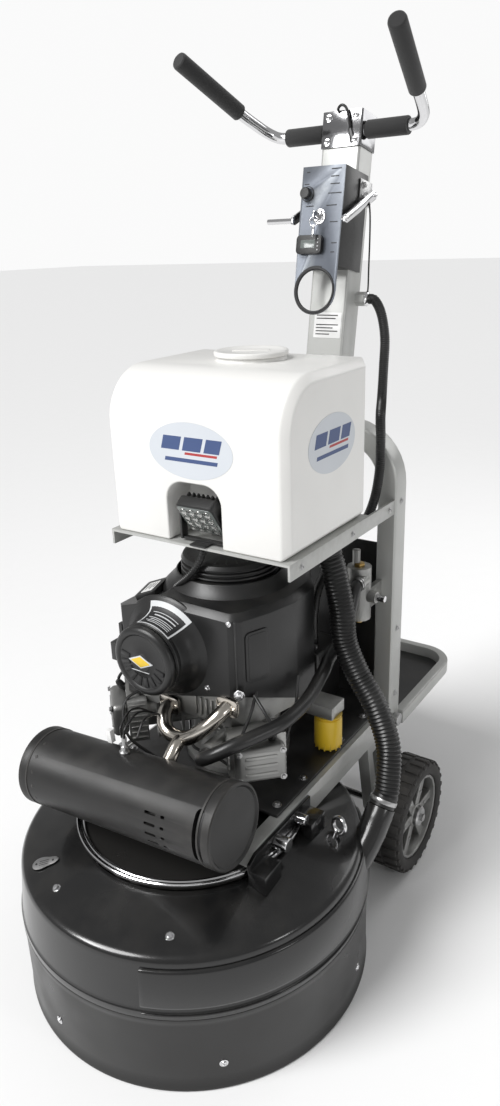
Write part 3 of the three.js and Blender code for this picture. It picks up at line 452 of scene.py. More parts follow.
def rounded(x0, x1, y0, y1, r, n=5):
    """A rectangle with round corners, as points."""
    spots = []
    for cx, cy, start in ((x1 - r, y1 - r, 0), (x0 + r, y1 - r, 90), (x0 + r, y0 + r, 180),
                          (x1 - r, y0 + r, 270)):
        for i in range(n + 1):
            angle = math.radians(start + 90 * i / n)
            spots.append((cx + r * math.cos(angle), cy + r * math.sin(angle)))
    return spots


def smooth_line(points, step):
    """A line through the points with no corners, in even steps."""
    points = [Vector(p) for p in points]
    ends = [points[0] * 2 - points[1]] + points + [points[-1] * 2 - points[-2]]
    fine = []
    for i in range(1, len(ends) - 2):
        p0, p1, p2, p3 = ends[i - 1:i + 3]
        for k in range(24):
            t = k / 24
            fine.append(0.5 * (2 * p1 + (p2 - p0) * t + (2 * p0 - 5 * p1 + 4 * p2 - p3) * t * t
                               + (3 * p1 - p0 - 3 * p2 + p3) * t ** 3))
    fine.append(points[-1])
    lengths = [0.0]
    for a, b in zip(fine, fine[1:]):
        lengths.append(lengths[-1] + (b - a).length)
    count = max(2, round(lengths[-1] / step))
    even, j = [], 0
    for i in range(count + 1):
        want = lengths[-1] * i / count
        while j < len(fine) - 2 and lengths[j + 1] < want:
            j += 1
        span = lengths[j + 1] - lengths[j] or 1
        even.append(fine[j].lerp(fine[j + 1], min(1, max(0, (want - lengths[j]) / span))))
    return even


def line_length(points):
    """Length of a line through points."""
    return sum((b - a).length for a, b in zip(points, points[1:]))


def linked(name, mesh):
    """A new object of a mesh, in the scene."""
    made = bpy.data.objects.new(name, mesh)
    bpy.context.collection.objects.link(made)
    return made


def solid_of(name, shape):
    """An object of a shape's solids, welded, with their faces outwards."""
    mesh = bpy.data.meshes.new(name)
    mesh.from_pydata([tuple(v) for v in shape.verts], [], shape.faces)
    solid = bmesh.new()
    solid.from_mesh(mesh)
    for face, tone in zip(solid.faces, shape.tones):
        face.material_index = tone
    bmesh.ops.remove_doubles(solid, verts=solid.verts, dist=WELD)
    bmesh.ops.recalc_face_normals(solid, faces=solid.faces)
    solid.to_mesh(mesh)
    solid.free()
    return linked(name, mesh)


def bake(piece, angle=35):
    """Applies a piece's modifiers for good and shades its curved faces smooth."""
    if len(piece.modifiers):
        shaped = bpy.data.meshes.new_from_object(piece.evaluated_get(bpy.context.evaluated_depsgraph_get()))
        piece.modifiers.clear()
        piece.data = shaped
    piece.data.shade_smooth()
    piece.data.set_sharp_from_angle(angle=math.radians(angle))


def settle(piece, edge, segments, angle):
    """Rounds a piece's edges by a width in metres, and shades it smooth."""
    if edge:
        rounder = piece.modifiers.new("edge", "BEVEL")
        rounder.width = edge
        rounder.segments = segments
        rounder.limit_method = "ANGLE"
        rounder.angle_limit = math.radians(angle)
    bake(piece, angle)


def fit(name, shape, finishes, body="chassis", stands_for=(), edge=0.0, segments=2, angle=35):
    """Makes a piece and puts it on its body. A slot's name as a finish means that slot's finish."""
    finishes = finishes if isinstance(finishes, list) else [finishes]
    piece = solid_of(name, shape)
    for look in finishes:
        piece.data.materials.append(FINISHES[look] if isinstance(look, str) else look)
    settle(piece, edge, segments, angle)
    if body:
        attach(piece, body)
    if stands_for:
        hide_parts(*stands_for)
    return piece


def soften(cad_name, name, edge=0.0012, segments=2, angle=32, material=None):
    """The CAD solid again with rounded edges and smooth curves, in place of the node."""
    source = frame["nodes"][cad_name].data
    mesh = bpy.data.meshes.new(name)
    mesh.from_pydata([tuple(v.co) for v in source.vertices], [], [tuple(p.vertices) for p in source.polygons])
    solid = bmesh.new()
    solid.from_mesh(mesh)
    bmesh.ops.remove_doubles(solid, verts=solid.verts, dist=CAD_WELD)
    bmesh.ops.dissolve_limit(solid, angle_limit=CAD_FLAT, verts=solid.verts, edges=solid.edges)
    solid.to_mesh(mesh)
    solid.free()
    mesh.materials.append(material or FINISHES[SLOT_OF[cad_name]])
    piece = linked(name, mesh)
    settle(piece, edge, segments, angle)
    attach(piece, BODY_OF[cad_name])
    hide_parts(cad_name)


def carve(piece, tools):
    """Cuts the tools' shapes out of a piece."""
    for tool in tools:
        cutter = piece.modifiers.new("cut", "BOOLEAN")
        cutter.operation = "DIFFERENCE"
        cutter.solver = "EXACT"
        cutter.object = tool
    bake(piece)
    for tool in tools:
        bpy.data.objects.remove(tool)


# ---- hoses and wiring ----
VAPOUR_ROUTE = [
    (194, 435.5, 806), (194, 427, 806), (196, 408, 794), (199, 388, 762), (200, 360, 716), (198, 328, 690),
    (196, 290, 677), (206, 250, 670), (213, 217, 667), (222, 160, 656), (225, 110, 650), (220, 44, 646),
    (194, -16, 640), (172, -54, 634), (146, -78, 620), (118, -86, 602), (99, -77, 587), (92, -62, 580.5),
    (92, -47, 580)]
VACUUM_ROUTE = [
    (362.2, 232.6, 371), (363.6, 242.6, 385), (365, 254, 406), (352, 282, 500), (314, 292, 585),
    (268, 296, 650), (232, 298, 724), (222, 300, 800), (206, 300, 880), (190, 300, 930), (188, 300, 944),
    (188, 300, 953.5)]
CONDUIT_ROUTE = [
    (76.5, 696, 1438), (84, 696, 1438), (100, 694, 1434), (122, 684, 1404), (138, 672, 1350),
    (146, 652, 1286), (160, 616, 1216), (184, 560, 1182), (200, 530, 1130), (201, 524, 1060),
    (194, 510, 990), (170, 500, 930), (110, 500, 860), (60, 490, 760), (50, 476, 680), (50, 474, 630),
    (50, 474, 600.6)]


def hose(name, route, radius, cad_name, wave=0.0, pitch=8.0, sides=20, cuffs=0.0):
    """A hose along its route: plain, or ribbed with smooth cuffs at its ends."""
    step = pitch / 4 if wave else 8
    line = smooth_line(route, step)
    total = line_length(line)
    radii = []
    for i in range(len(line)):
        at = total * i / (len(line) - 1)
        inside = min(at, total - at) > cuffs
        ribs = 0.5 - 0.5 * math.cos(2 * math.pi * at / pitch)
        radii.append(radius - (wave * ribs if wave and inside else 0))
    shape = Shape().pipe(line, radii, sides)
    crosses = cad_name == "conduit"
    piece = fit(name, shape, "hose_rubber", None if crosses else "chassis",
                stands_for=[cad_name], angle=50 if wave else 35)
    if crosses:
        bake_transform(piece)


hose("gas_hose", VAPOUR_ROUTE, 15, "vapour_hose")
hose("dust_hose", VACUUM_ROUTE, 29, "vacuum_hose", 3.0, 9.0, 28, 26)
hose("wiring_loom", CONDUIT_ROUTE, 12, "conduit", 1.4, 5.0, 16, 14)


def throttle_cable():
    """Thin control cable from the lever's bracket down to the wiring gland."""
    route = [(70, -4, 436), (73, -4, 428), (77, -3, 400), (79, 2, 350), (80, 8, 290), (80, 14, 250),
             (78, 18, 236)]
    points = [on_post(*p) for p in smooth_line(route, 6)]
    line = Shape(Matrix()).pipe(points, 0.002, 12)
    piece = fit("throttle_cable", line, "hose_rubber", "control_post")


throttle_cable()


# ---- deck ----
def deck_pieces():
    """The round deck's mouldings, and what is fixed to them."""
    cover = [(394, 195.4), (399.6, 195.4), (400, 197), (400, 211), (397.5, 214), (396.6, 220), (387, 314),
             (386, 320), (383.5, 325), (379, 329.6), (372, 332.6), (352, 337), (258, 368.4), (252.5, 369.8),
             (252.3, 365), (350, 331), (372, 327), (381, 316), (394, 211)]
    skirt = [(394.4, 2.4), (399, 2), (400, 3.4), (400, 9), (398.6, 12), (398.2, 40), (398, 176), (398.6, 184),
             (400, 188), (400, 194.4), (394, 194.8)]
    ring = [(240, 384.4), (258.4, 384.4), (259, 386.5), (258.4, 389.4), (256.4, 391), (253.6, 390.6),
            (251.6, 388.2), (249.6, 388.2), (247.6, 390.4), (244.6, 390.8), (242, 389.2)]
    for name, profile, look, node_name in (("deck_cover_moulding", cover, "deck_black", "deck_cover"),
                                           ("deck_skirt_moulding", skirt, "skirt_rubber", "deck_skirt"),
                                           ("deck_chrome_ring", ring, "bright_chrome", "deck_trim_ring")):
        fit(name, Shape().turned(profile, sides=144), look, stands_for=[node_name])
    soften("deck_top_plate", "deck_plate", 0.001, 2, 32, PLATE_METAL)
    # raised strip of the wrap-round guard, with its two ends
    band = Shape()
    for strip in ([(398.6, 224), (402.6, 226), (404.0, 232), (395.6, 304), (393, 309), (388.2, 311),
                   (386, 309)],
                  [(399.6, 203), (402.2, 204), (402.2, 209), (399.6, 210)]):
        band.turned(strip, sides=84, start=math.radians(-68), sweep=math.radians(112))
    fit("deck_guard_strip", band, "deck_black", edge=0.0015)
    # fixings round the deck
    fixings = Shape()
    for degrees in (-154, -100, -46, 8, 62, 116, 170):
        x, y = math.cos(math.radians(degrees)), math.sin(math.radians(degrees))
        fixings.dome_screw(facing((398.4 * x, 398.4 * y, 70), (x, y, 0)), 6)
    for degrees in (-109, -60, 60, 140, 180):
        x, y = math.cos(math.radians(degrees)), math.sin(math.radians(degrees))
        fixings.hex_bolt(facing((338 * x, 338 * y, 341), (0.3 * x, 0.3 * y, 0.95)), 6, 5)
    fit("deck_fixings", fixings, "bright_chrome", edge=0.0003)
    # drop-shaped metal tag on the shoulder
    tag = [(26 * math.cos(t) + (9 if math.cos(t) > 0.6 else 0), 15 * math.sin(t) * (1 - 0.35 * math.cos(t)))
           for t in ring_angles(28)]
    place = facing((-186, -284, 344), (-0.17, -0.26, 0.95), (-0.55, 0.83, 0))
    plate = Shape().sheet(tag, 0, 1.6, place)
    for x in (-17, 22):
        plate.disc(2.4, 1.2, 2.8, place @ shift(x, 0, 0), 16, 1, 0.6)
    for k in range(3):
        plate.block((-10, -6 + 5 * k, 1.4), (12, -4.6 + 5 * k, 1.9), place, 1)
    fit("deck_tag", plate, ["machined_steel", MARK_DARK], edge=0.0004)
    # lifting eye on the right shoulder
    eye = Shape()
    base = facing((303, 124, 340), (0.25, 0.1, 0.96))
    eye.disc(15, 0, 4, base, 32, 0, 0.8).disc(8, 3, 14, base, 24)
    loop = [(x, 0, 29 + z) for x, z in circle(17, 40)]
    turn = spin(math.radians(50))
    eye.pipe(loop, 5.5, 14, base @ turn, closed=True)
    fit("lifting_eye", eye, "bright_chrome")
    # studs through the cheeks
    studs = Shape()
    for side in (-1, 1):
        for y, z, size in ((-26, 408, 13), (57, 411, 9)):
            studs.disc(size + 2.6, 0, 31 if y < 0 else 25, facing((side * 243.5, y, z), (side, 0, 0)), 32, 0,
                       1.2)
    fit("cheek_studs", studs, "bright_chrome", edge=0.0006)


def chassis_pieces():
    """Rails, hoop, trays and brackets, and the bolts that hold them."""
    for side in ("left", "right"):
        soften(f"rail_{side}", f"frame_rail_{side}", 0.003, 3)
        soften(f"deck_cheek_{side}", f"cheek_plate_{side}", 0.0015)
        soften(f"axle_bracket_{side}", f"axle_plate_{side}", 0.003, 3)
    soften("rear_hoop", "hoop_tube", 0.003, 2, 40)
    soften("cradle_bar", "cradle_tube", 0.003, 2, 40)
    soften("cylinder_tray", "cradle_tray", 0.0015)
    soften("tank_tray", "tank_shelf", 0.001)
    soften("post_hinge", "post_hinge_ears", 0.0015)
    soften("engine_plate", "engine_bed", 0.001)
    fixings = Shape()
    for side in (-1, 1):
        for y in (40, 150, 330, 450):
            fixings.hex_bolt(facing((side * 205, y, 438), UP), 7, 5)
        for y in (110, 330, 520):
            fixings.dome_screw(facing((side * 232, y, 973), (side, 0, 0)), 5)
        for z in (450, 640, 980):
            fixings.dome_screw(facing((side * 235, 580, z), (side, 0, 0)), 6)
        fixings.hex_bolt(facing((side * 70, 637, 1225), (side, 0, 0)), 9, 6)
        # sockets for the cradle's stubs
        fixings.disc(17, 0, 16, facing((side * 235, 580, 372), (side, 0, 0)), 32, 0, 1)
        for x, y in ((side * 50, 566), (side * 50, 632)):
            fixings.hex_bolt(facing((x, y, 1175), UP), 6, 4)
    fit("frame_bolts", fixings, "machined_steel", edge=0.0004)


LUGS = 28                      # in each of the tyre's two rows


def wheel_pieces():
    """Tyres with two rows of staggered lugs, and the hub caps."""
    for side, way in SIDES:
        at = DECK_FRAME @ shift(0, AXLE[0], AXLE[1]) @ spin(math.radians(90 * way), "Y")
        tyre = Shape(at)
        profile = [(112.2, 270), (116, 267), (126, 264.4), (134, 265), (141, 268.5), (145, 276), (146, 284),
                   (146, 336), (145, 344), (141, 351.5), (134, 355), (126, 355.6), (116, 353), (112.2, 350)]
        tyre.turned(profile, sides=96)
        for near, far in zip(ring_angles(LUGS), ring_angles(LUGS, 0.5)):
            for angle, low, high, foot in ((near, 272, 306, (266, 278)), (far, 314, 348, (344, 354))):
                tyre.block((139, -9.5, low), (149.6, 9.5, high), spin(angle))
                tyre.block((128, -6, foot[0]), (145, 6, foot[1]), spin(angle))
        fit(f"tyre_tread_{side}", tyre, "tyre_rubber", f"wheel_{side}", stands_for=[f"tyre_{side}"],
            edge=0.0012)
        soften(f"wheel_rim_{side}", f"spoked_rim_{side}", 0.003, 3)
        cap = Shape(at)
        cap.turned([(0, 338), (24, 338), (27, 341), (27, 350), (23, 354), (0, 355)], sides=40)
        for x, y in circle(62, 6, 0.5):
            cap.disc(4, 330, 339, shift(x, y, 0), 16, 0, 1)
        fit(f"hub_cap_{side}", cap, "machined_steel", f"wheel_{side}")


# ---- tank ----
def tank_pieces():
    """Tank, its cap and decals, and the work light under it."""
    soften("solution_tank", "tank_shell", 0.004, 3, 40)
    cap = Shape(DECK_FRAME @ shift(0, TANK_CAP_Y, 0))
    cap.turned([(0, 1337), (60, 1337), (60, 1350.5), (78, 1350.5), (80, 1352), (80, 1359), (78, 1361.6),
                (70, 1362),
                (66, 1359.6), (0, 1359.6)], sides=96)
    for angle in ring_angles(40):
        cap.block((78.6, -1.6, 1352), (80, 1.6, 1360), spin(angle))
    cap.block((-40, -5, 1359), (40, 5, 1361.8), spin(0.5))
    fit("tank_lid_moulding", cap, "tank_white", "tank_lid", stands_for=["tank_cap"], edge=0.0006)
    # oval decals with a plain band pattern
    for name, at, rx, ry in (("front_decal", facing((0, 69.8, 1190), FRONT), 105, 58),
                             ("side_decal", facing((226.2, 247, 1193), RIGHT), 98, 60)):
        oval = [(rx * x, ry * y) for x, y in circle(1, 72)]
        decal = Shape().sheet(oval, 0, 0.35, at)
        for x0, x1, y0, y1, tone in ((-74, -28, 0, 28, 1), (-20, 26, 0, 28, 1), (34, 72, 0, 28, 1),
                                     (-14, 66, -8, -3, 2), (-66, 66, -24, -16, 1)):
            slant = (y1 - y0) * 0.3
            decal.sheet([(x0, y0), (x1, y0), (x1 + slant, y1), (x0 + slant, y1)], 0.3, 0.55, at, tone)
        fit(name, decal, [DECAL_GREY, MARK_BLUE, MARK_RED])
    soften("light_bracket", "lamp_bracket", 0.001)
    soften("work_light", "lamp_body", 0.002, 3)
    lens = Shape(DECK_FRAME @ shift(*LAMP_MIDDLE) @ spin(math.radians(35 - 90), "X"))
    lens.sheet(rounded(-44, 44, -40, 40, 8), -15.2, -13.6)
    for i in range(4):
        for j in range(4):
            at = shift(-30 + 20 * i, -27 + 18 * j, 0) @ spin(math.pi, "X")
            lens.turned([(0, 14.4), (3, 14.4), (8, 17.2), (8.4, 17.2), (8.4, 14.2), (0, 14.2)], at, 20, 1)
    fit("lamp_lens", lens, [GLASS_GREY, LENS_GREY], "lamp", edge=0.0005)


# ---- engine ----
# distance along the air cleaner's axis, and radius there
FLARE = [(-60, 80), (-36, 80.6), (-22, 83), (-8, 88), (2, 98), (7, 112)]


def flare_radius(y):
    """Radius of the filter housing and its flare at a distance along its axis."""
    for (y0, r0), (y1, r1) in zip(FLARE, FLARE[1:]):
        if y <= y1:
            return r0 + (r1 - r0) * (y - y0) / (y1 - y0)
    return FLARE[-1][1]


def housing_patch(shape, a0, a1, y0, y1, lift, tone, thick=0.6, across=12, along=8):
    """A thin plate wrapped round the top of the filter housing."""
    grid = [(a0 + (a1 - a0) * i / across, y0 + (y1 - y0) * j / along) for i in range(across + 1)
            for j in range(along + 1)]
    verts = []
    for rise in (lift, lift + thick):
        for a, y in grid:
            r = flare_radius(y) + rise
            verts.append((FILTER_AXIS[0] + r * math.cos(a), y, FILTER_AXIS[1] + r * math.sin(a)))
    n, row, faces = len(grid), along + 1, []
    for i in range(across):
        for j in range(along):
            face = (i * row + j, (i + 1) * row + j, (i + 1) * row + j + 1, i * row + j + 1)
            faces += [face, tuple(n + k for k in reversed(face))]
        for j in (0, along):
            c, d = i * row + j, (i + 1) * row + j
            faces.append((c, d, n + d, n + c))
    for j in range(along):
        for i in (0, across):
            c, d = i * row + j, i * row + j + 1
            faces.append((c, d, n + d, n + c))
    shape.add(verts, faces, None, tone)


def fan_and_filter():
    """Engine block, fan cover and ribbed screen, and the air cleaner in front of them."""
    soften("engine_block", "engine_casting", 0.002, 2)
    soften("blower_housing", "fan_cover", 0.009, 4, 28)
    # ribbed screen with its spindle
    dome = [(0, 704.4), (115.6, 704.4), (115.6, 726), (60, 732), (26, 744), (26, 850), (112, 864)]
    for i in range(6):
        z = 872 + i * 10.6
        r = 112 - 0.7 * i
        dome += [(r - 6, z), (r - 6, z + 3.4), (r - 1, z + 4.6), (r, z + 6.4), (r - 1, z + 8.8)]
    dome += [(104, 940), (98, 942.6), (88, 943.8), (40, 944), (36, 941), (0, 941)]
    fan = Shape(CRANK_FRAME)
    fan.turned(dome, sides=72)
    for angle in ring_angles(24):
        fan.block((42, -1.6, 942.6), (96, 1.6, 943.9), spin(angle))
    fit("fan_dome", fan, "satin_black", "engine_crank", stands_for=["fan_screen"])
    body = Shape(FILTER_FRAME)
    body.turned([(0, -65.6), (79.6, -65.6), (80, -40), (79, 30), (78, 44), (80, 46), (80, 52), (78.5, 53.5),
                 (78, 57.8),
                 (0, 57.8)], sides=96)
    fit("filter_housing", body, "satin_black", stands_for=["air_cleaner"])
    # flare where the housing runs into the fan cover, and the collar round the ribbed screen
    flare = Shape(FILTER_FRAME)
    flare.turned([(79, 44), (80.6, 36), (83, 22), (88, 8), (98, -2), (112, -7), (118, -12), (116, -18),
                  (79, -18)],
                 sides=96)
    fit("filter_flare", flare, "satin_black", edge=0.001)
    collar = Shape(CRANK_FRAME)
    collar.turned([(117.5, 852), (156, 852), (152, 868), (140, 880), (127, 890), (120.5, 905), (117.5, 906)],
                  sides=96)
    fit("screen_collar", collar, "satin_black", edge=0.001)
    face = Shape(FILTER_FRAME)
    face.turned([(0, 58.4), (76, 58.4), (78, 60), (78, 68), (76, 72), (71, 75), (66, 76), (62, 75), (60, 73),
                 (22, 74.6),
                 (20, 76), (0, 76)], sides=96)
    for k in range(9):
        turn = spin(math.radians(168 + 22 * k))
        face.sheet(rounded(34, 58, -5.4, 5.4, 2), 72.6, 75.4, turn, 1)
        face.sheet(rounded(36, 56, -3.6, 3.6, 1.4), 75.2, 75.8, turn, 0)
    badge = shift(-2, 2, 0)
    face.sheet([(-32, 0), (0, 15), (32, 0), (0, -15)], 74, 77.2, badge, 2)
    face.sheet([(-26, 0), (0, 12), (26, 0), (0, -12)], 77, 77.8, badge, 3)
    face.block((-30, -24, 74), (20, -22.6, 75.6), badge, 2)
    fit("filter_cover", face, ["satin_black", MARK_DARK, MARK_PALE, "filter_yellow"],
        stands_for=["air_cleaner_cover"], edge=0.0006)
    # bright-edged plate that follows the top of the housing and its flare
    plate = Shape()
    a0, a1 = math.radians(46), math.radians(108)
    housing_patch(plate, a0, a1, -52, 5, 0.6, 0)
    housing_patch(plate, a0 + 0.05, a1 - 0.05, -49.5, 2.5, 1.0, 1)
    for k, (low, high) in enumerate(((-11, -9.6), (-19, -16.6), (-27, -25.6), (-32, -30.6), (-37, -35.6),
                                     (-42, -40.6))):
        housing_patch(plate, a0 + 0.16, a1 - 0.16 - 0.1 * (k % 2), low, high, 1.4, 0)
    fit("filter_plate", plate, [MARK_PALE, MARK_DARK])


def exhaust():
    """Header bend from both heads, and its pipe into the muffler."""
    header = Shape()
    bend = smooth_line([(112, 12.2, 672), (112, 4, 672), (106, -20, 662), (90, -38, 642), (66, -48, 620),
                        (38, -52, 602),
                        (4, -50, 597), (-22, -44, 604), (-38, -28, 619), (-45, -8, 628), (-46, 4, 630),
                        (-46, 12.2, 630)], 5)
    header.pipe(bend, 16, 32)
    header.pipe([(30, -52, 600), (30, -66, 597.5), (30, -80, 590), (30, -99, 572)], 14.6, 28)
    for x, z in ((112, 672), (-46, 630)):
        header.sheet(rounded(-26, 26, -20, 20, 9), -4, 4, facing((x, 4, z), FRONT))
        for dx in (-19, 19):
            header.hex_bolt(facing((x + dx, -0.2, z), FRONT), 5, 5, False)
    fit("exhaust_pipe", header, "exhaust_steel", stands_for=["exhaust_header"], edge=0.0006)


def cylinder_heads():
    """Valve covers, their bolts and ribs, and the plug leads."""
    for side, s in SIDES:
        soften(f"valve_cover_{side}", f"rocker_cover_{side}", 0.004, 3)
        place = DECK_FRAME @ shift(0, CRANK_Y, 575) @ spin(s * math.pi / 4)
        head = Shape(place)
        for x, z in ((-46, -34), (46, -34), (-46, 30), (46, 30)):
            head.hex_bolt(facing((x, -292, z), FRONT), 5, 4)
        fit(f"rocker_bolts_{side}", head, "machined_steel", edge=0.0004)
        ribs = Shape(place)
        for k in range(3):
            ribs.sheet(rounded(-34, 34, -26 + 20 * k, -18 + 20 * k, 3), 0, 2.4, facing((0, -292.4, 0), FRONT))
        for k in range(7):
            z = -46 + 14 * k
            ribs.block((-62, -252, z), (62, -216, z + 2.6))
        fit(f"head_fins_{side}", ribs, "cast_metal", edge=0.0008)
        plug = Shape(place)
        lead = smooth_line([(s * 30, -262, 40), (s * 34, -270, 62), (s * 20, -250, 92), (s * 4, -214, 118)],
                           5)
        plug.pipe(lead, 3.6, 12)
        plug.turned([(0, 0), (8, 0), (9, 5), (8, 22), (5, 28), (0, 28)],
                    facing((s * 30, -258, 36), (0, -0.7, 1)), 24)
        fit(f"plug_lead_{side}", plug, "hose_rubber")


def oil_filter_and_battery():
    """Spin-on oil filter with its fluted end, and the battery's posts."""
    oil = Shape(DECK_FRAME @ shift(196, 285, 0))
    oil.turned([(0, 446.4), (22, 446.4), (29, 449), (32.4, 455), (33, 462), (33, 520), (31.6, 526),
                (29, 528), (29, 531),
                (33, 532), (33, 535), (0, 535.4)], sides=64)
    for angle in ring_angles(14):
        oil.disc(1.8, 448, 468, spin(angle) @ shift(31.4, 0, 0), 8)
    fit("oil_filter_can", oil, "filter_yellow", stands_for=["oil_filter"])
    soften("battery", "battery_case", 0.003, 3)
    lid = Shape()
    for x in (-70, 70):
        lid.disc(9, 599, 609, shift(x, 440, 0), 24, 1, 1.2)
        lid.block((x - 12, 428, 598), (x + 12, 432, 612))
    fit("battery_posts", lid, ["satin_black", "machined_steel"], edge=0.0008)


def small_engine_parts():
    """Side panel, ignition box, bolts, bosses and wires round the engine."""
    trim = Shape()
    wall = facing((156, 57, 778), (0.93, -0.366, 0))
    trim.sheet(rounded(-30, 30, -56, 60, 12), -1, 2.2, wall)
    trim.sheet(rounded(-24, 24, -50, 54, 9), 2, 3.2, wall)
    trim.block((134, 6, 700), (137, 9.6, 872))
    for k in range(5):
        trim.block((-150 + 12 * k, 4.2, 716), (-144 + 12 * k, 6.6, 742))
    box_top = facing((-134, 80, 849), (-0.32, -0.1, 0.94))
    trim.sheet(rounded(-42, 42, -26, 26, 6), -2, 17, box_top)
    trim.block((-209, 34, 742), (-199, 62, 776))
    trim.block((-212, 72, 730), (-199, 92, 792))
    trim.block((-206, 0, 700), (-190, 26, 744))
    fit("fan_cover_trim", trim, "satin_black", edge=0.0022, segments=3)
    tags = Shape()
    tags.sheet(rounded(-26, 30, -14, 14, 2), 16.8, 17.4, box_top)
    for k in range(4):
        tags.block((-20, -10 + 6 * k, 17.2), (18 - 7 * (k % 2), -8 + 6 * k, 17.6), box_top, 1)
    fit("ignition_label", tags, [LABEL_WHITE, MARK_DARK])
    bolts = Shape()
    bolts.hex_bolt(facing((140, 8, 706), (0.4, -0.9, 0)), 8, 6)
    bolts.dome_screw(facing((122, 6, 864), FRONT), 4)
    for x, z in ((-160, 700), (-120, 650), (60, 700)):
        bolts.hex_bolt(facing((x, 5.6, z), FRONT), 5, 4)
    for x, y in ((-96, 120), (96, 130), (70, 300), (-70, 300)):
        bolts.hex_bolt(facing((x * 1.5, y, 872 if x > 0 else 850), UP), 5, 4)
    fit("fan_cover_bolts", bolts, "bright_chrome", edge=0.0004)
    # fins and bosses of the crankcase, between cover and deck
    case = Shape()
    for k in range(6):
        case.block((20 + 14 * k, 9, 626), (24 + 14 * k, 20, 668))
    for x, z in ((60, 560), (96, 552), (-70, 556), (-20, 540), (24, 536)):
        case.disc(13, 0, 16, facing((x, 92 + abs(x) * 0.2, z), FRONT), 24, 0, 1.5)
        case.hex_bolt(facing((x, 77 + abs(x) * 0.2, z), FRONT), 6, 5, False)
    fit("crankcase_bosses", case, "cast_metal", edge=0.001)
    wires = Shape()
    line = smooth_line([(12, 84, 980), (4, 74, 952), (-24, 70, 916), (-60, 76, 886), (-84, 84, 862)], 1.5)
    wires.pipe(line, [7.5 if i % 4 < 2 else 6.2 for i in range(len(line))], 16)
    for route in (((150, 60, 700), (158, 20, 660), (150, -10, 610), (130, 10, 560), (90, 40, 500)),
                  ((-130, 20, 640), (-150, -30, 620), (-120, -60, 560), (-60, -30, 500)),
                  ((196, 150, 700), (206, 120, 640), (196, 90, 560), (170, 130, 480)),
                  ((-40, 60, 560), (-10, 30, 520), (40, 40, 505), (80, 60, 470))):
        wires.pipe(smooth_line(route, 5), 3.4, 10)
    fit("engine_wires", wires, "hose_rubber")


def muffler_pieces():
    """Muffler can with its vents cut out, its seams, and the probe on its inlet."""
    can = Shape(MUFFLER_FRAME @ ALONG_X)
    h = 257                    # half its length
    can.turned([(0, -h), (82, -h), (86, -h + 2), (85.6, -h + 14), (84.4, -h + 20), (84.4, h - 26),
                (85.4, h - 24),
                (86, h - 22), (86, h - 3), (84, h - 0.4), (80, h), (76, h - 4), (0, h - 7)], sides=112)
    piece = fit("muffler_can", can, "muffler_black", stands_for=["muffler"])
    tools = [solid_of("slot_tool", Shape(MUFFLER_FRAME).sheet(
        rounded(217, 238, -52, 52, 10), 60, 110, spin(math.radians(90 - 14), "X")))]
    for low, high in ((100, 128), (140, 150)):
        for k in range(4):
            turn = spin(math.radians(90 - 26 + 15 * k), "X")
            tools.append(solid_of("vent_tool", Shape(MUFFLER_FRAME).sheet(
                rounded(low, high, -3, 3, 2.8), 74, 110, turn)))
    carve(piece, tools)
    dark = Shape(MUFFLER_FRAME @ ALONG_X)
    dark.turned([(70, 60), (73, 60), (73, 242), (70, 242)], sides=64)
    fit("muffler_lining", dark, MARK_DARK)
    seams = Shape(MUFFLER_FRAME @ ALONG_X)
    for at in (-236, 226):
        seams.turned([(84, at), (85.9, at + 1), (85.9, at + 5), (84, at + 6)], sides=96)
    for k in range(9):
        angle = math.radians(200 + 22 * k)
        place = shift(84.2 * math.cos(angle), 84.2 * math.sin(angle), -216) @ spin(angle) @ ALONG_X
        seams.turned([(0, 0), (4, 0), (3, 1), (0, 1.2)], place, 14)
    fit("muffler_seams", seams, "muffler_black")
    probe = Shape()
    up = facing((-46, -150, 594), (0, 0.1, 1))
    probe.turned([(0, -4), (11, -4), (11, 4), (8, 6), (8, 16), (5.4, 18), (5.4, 34), (3, 40), (0, 40)], up,
                 24, 1)
    for dx in (-3, 3):
        lead = smooth_line([(-46 + dx, -150, 630), (-48 + dx * 2, -146, 650), (-54 + dx * 3, -110, 664),
                            (-62 + dx * 4, -70, 650), (-58 + dx * 6, -40, 628)], 4)
        probe.pipe(lead, 2.4, 10)
    probe.block((-16, -152, 612), (-4, -140, 640), spin(-0.12, "Y"), 2)
    probe.pipe(smooth_line([(-10, -146, 640), (-14, -120, 664), (-30, -80, 650), (-40, -44, 632)], 4), 2.4,
               10)
    fit("exhaust_probe", probe, ["hose_rubber", "machined_steel", LABEL_WHITE],
        edge=0.0004)


def gas_pieces():
    """Regulator with its button and fittings, and the deck's dust port."""
    soften("gas_regulator", "regulator_body", 0.002, 3)
    soften("primer_button", "primer_knob", 0.001, 3)
    parts = Shape()
    for y, z in circle(40, 8):
        parts.hex_bolt(facing((158, 478 + y, 758 + z), RIGHT), 4, 3, False)
    parts.hex_bolt(facing((176, 478, 836), UP), 14, 8, False, 1)
    parts.disc(9, 0, 26, facing((168, 478, 842), UP), 24, 1, 1)
    parts.disc(11, 0, 12, facing((176, 478, 700), (0, 0, -1)), 24, 1, 1)
    for y in (440, 448):
        parts.turned([(15.2, 0), (17.4, 0), (17.4, 5), (15.2, 5)], facing((194, y - 12, 806), (0, 1, 0)), 32)
    fit("gas_fittings", parts, ["machined_steel", BRASS], edge=0.0005)
    soften("vacuum_port", "dust_port", 0.001, 2, 40)
    clip = Shape()
    clip.turned([(29.2, -5), (31.4, -5), (31.4, 5), (29.2, 5)],
                facing((363.4, 240.5, 382), (0.1, 0.55, 0.83)), 40)
    fit("dust_hose_clip", clip, "machined_steel", edge=0.0004)


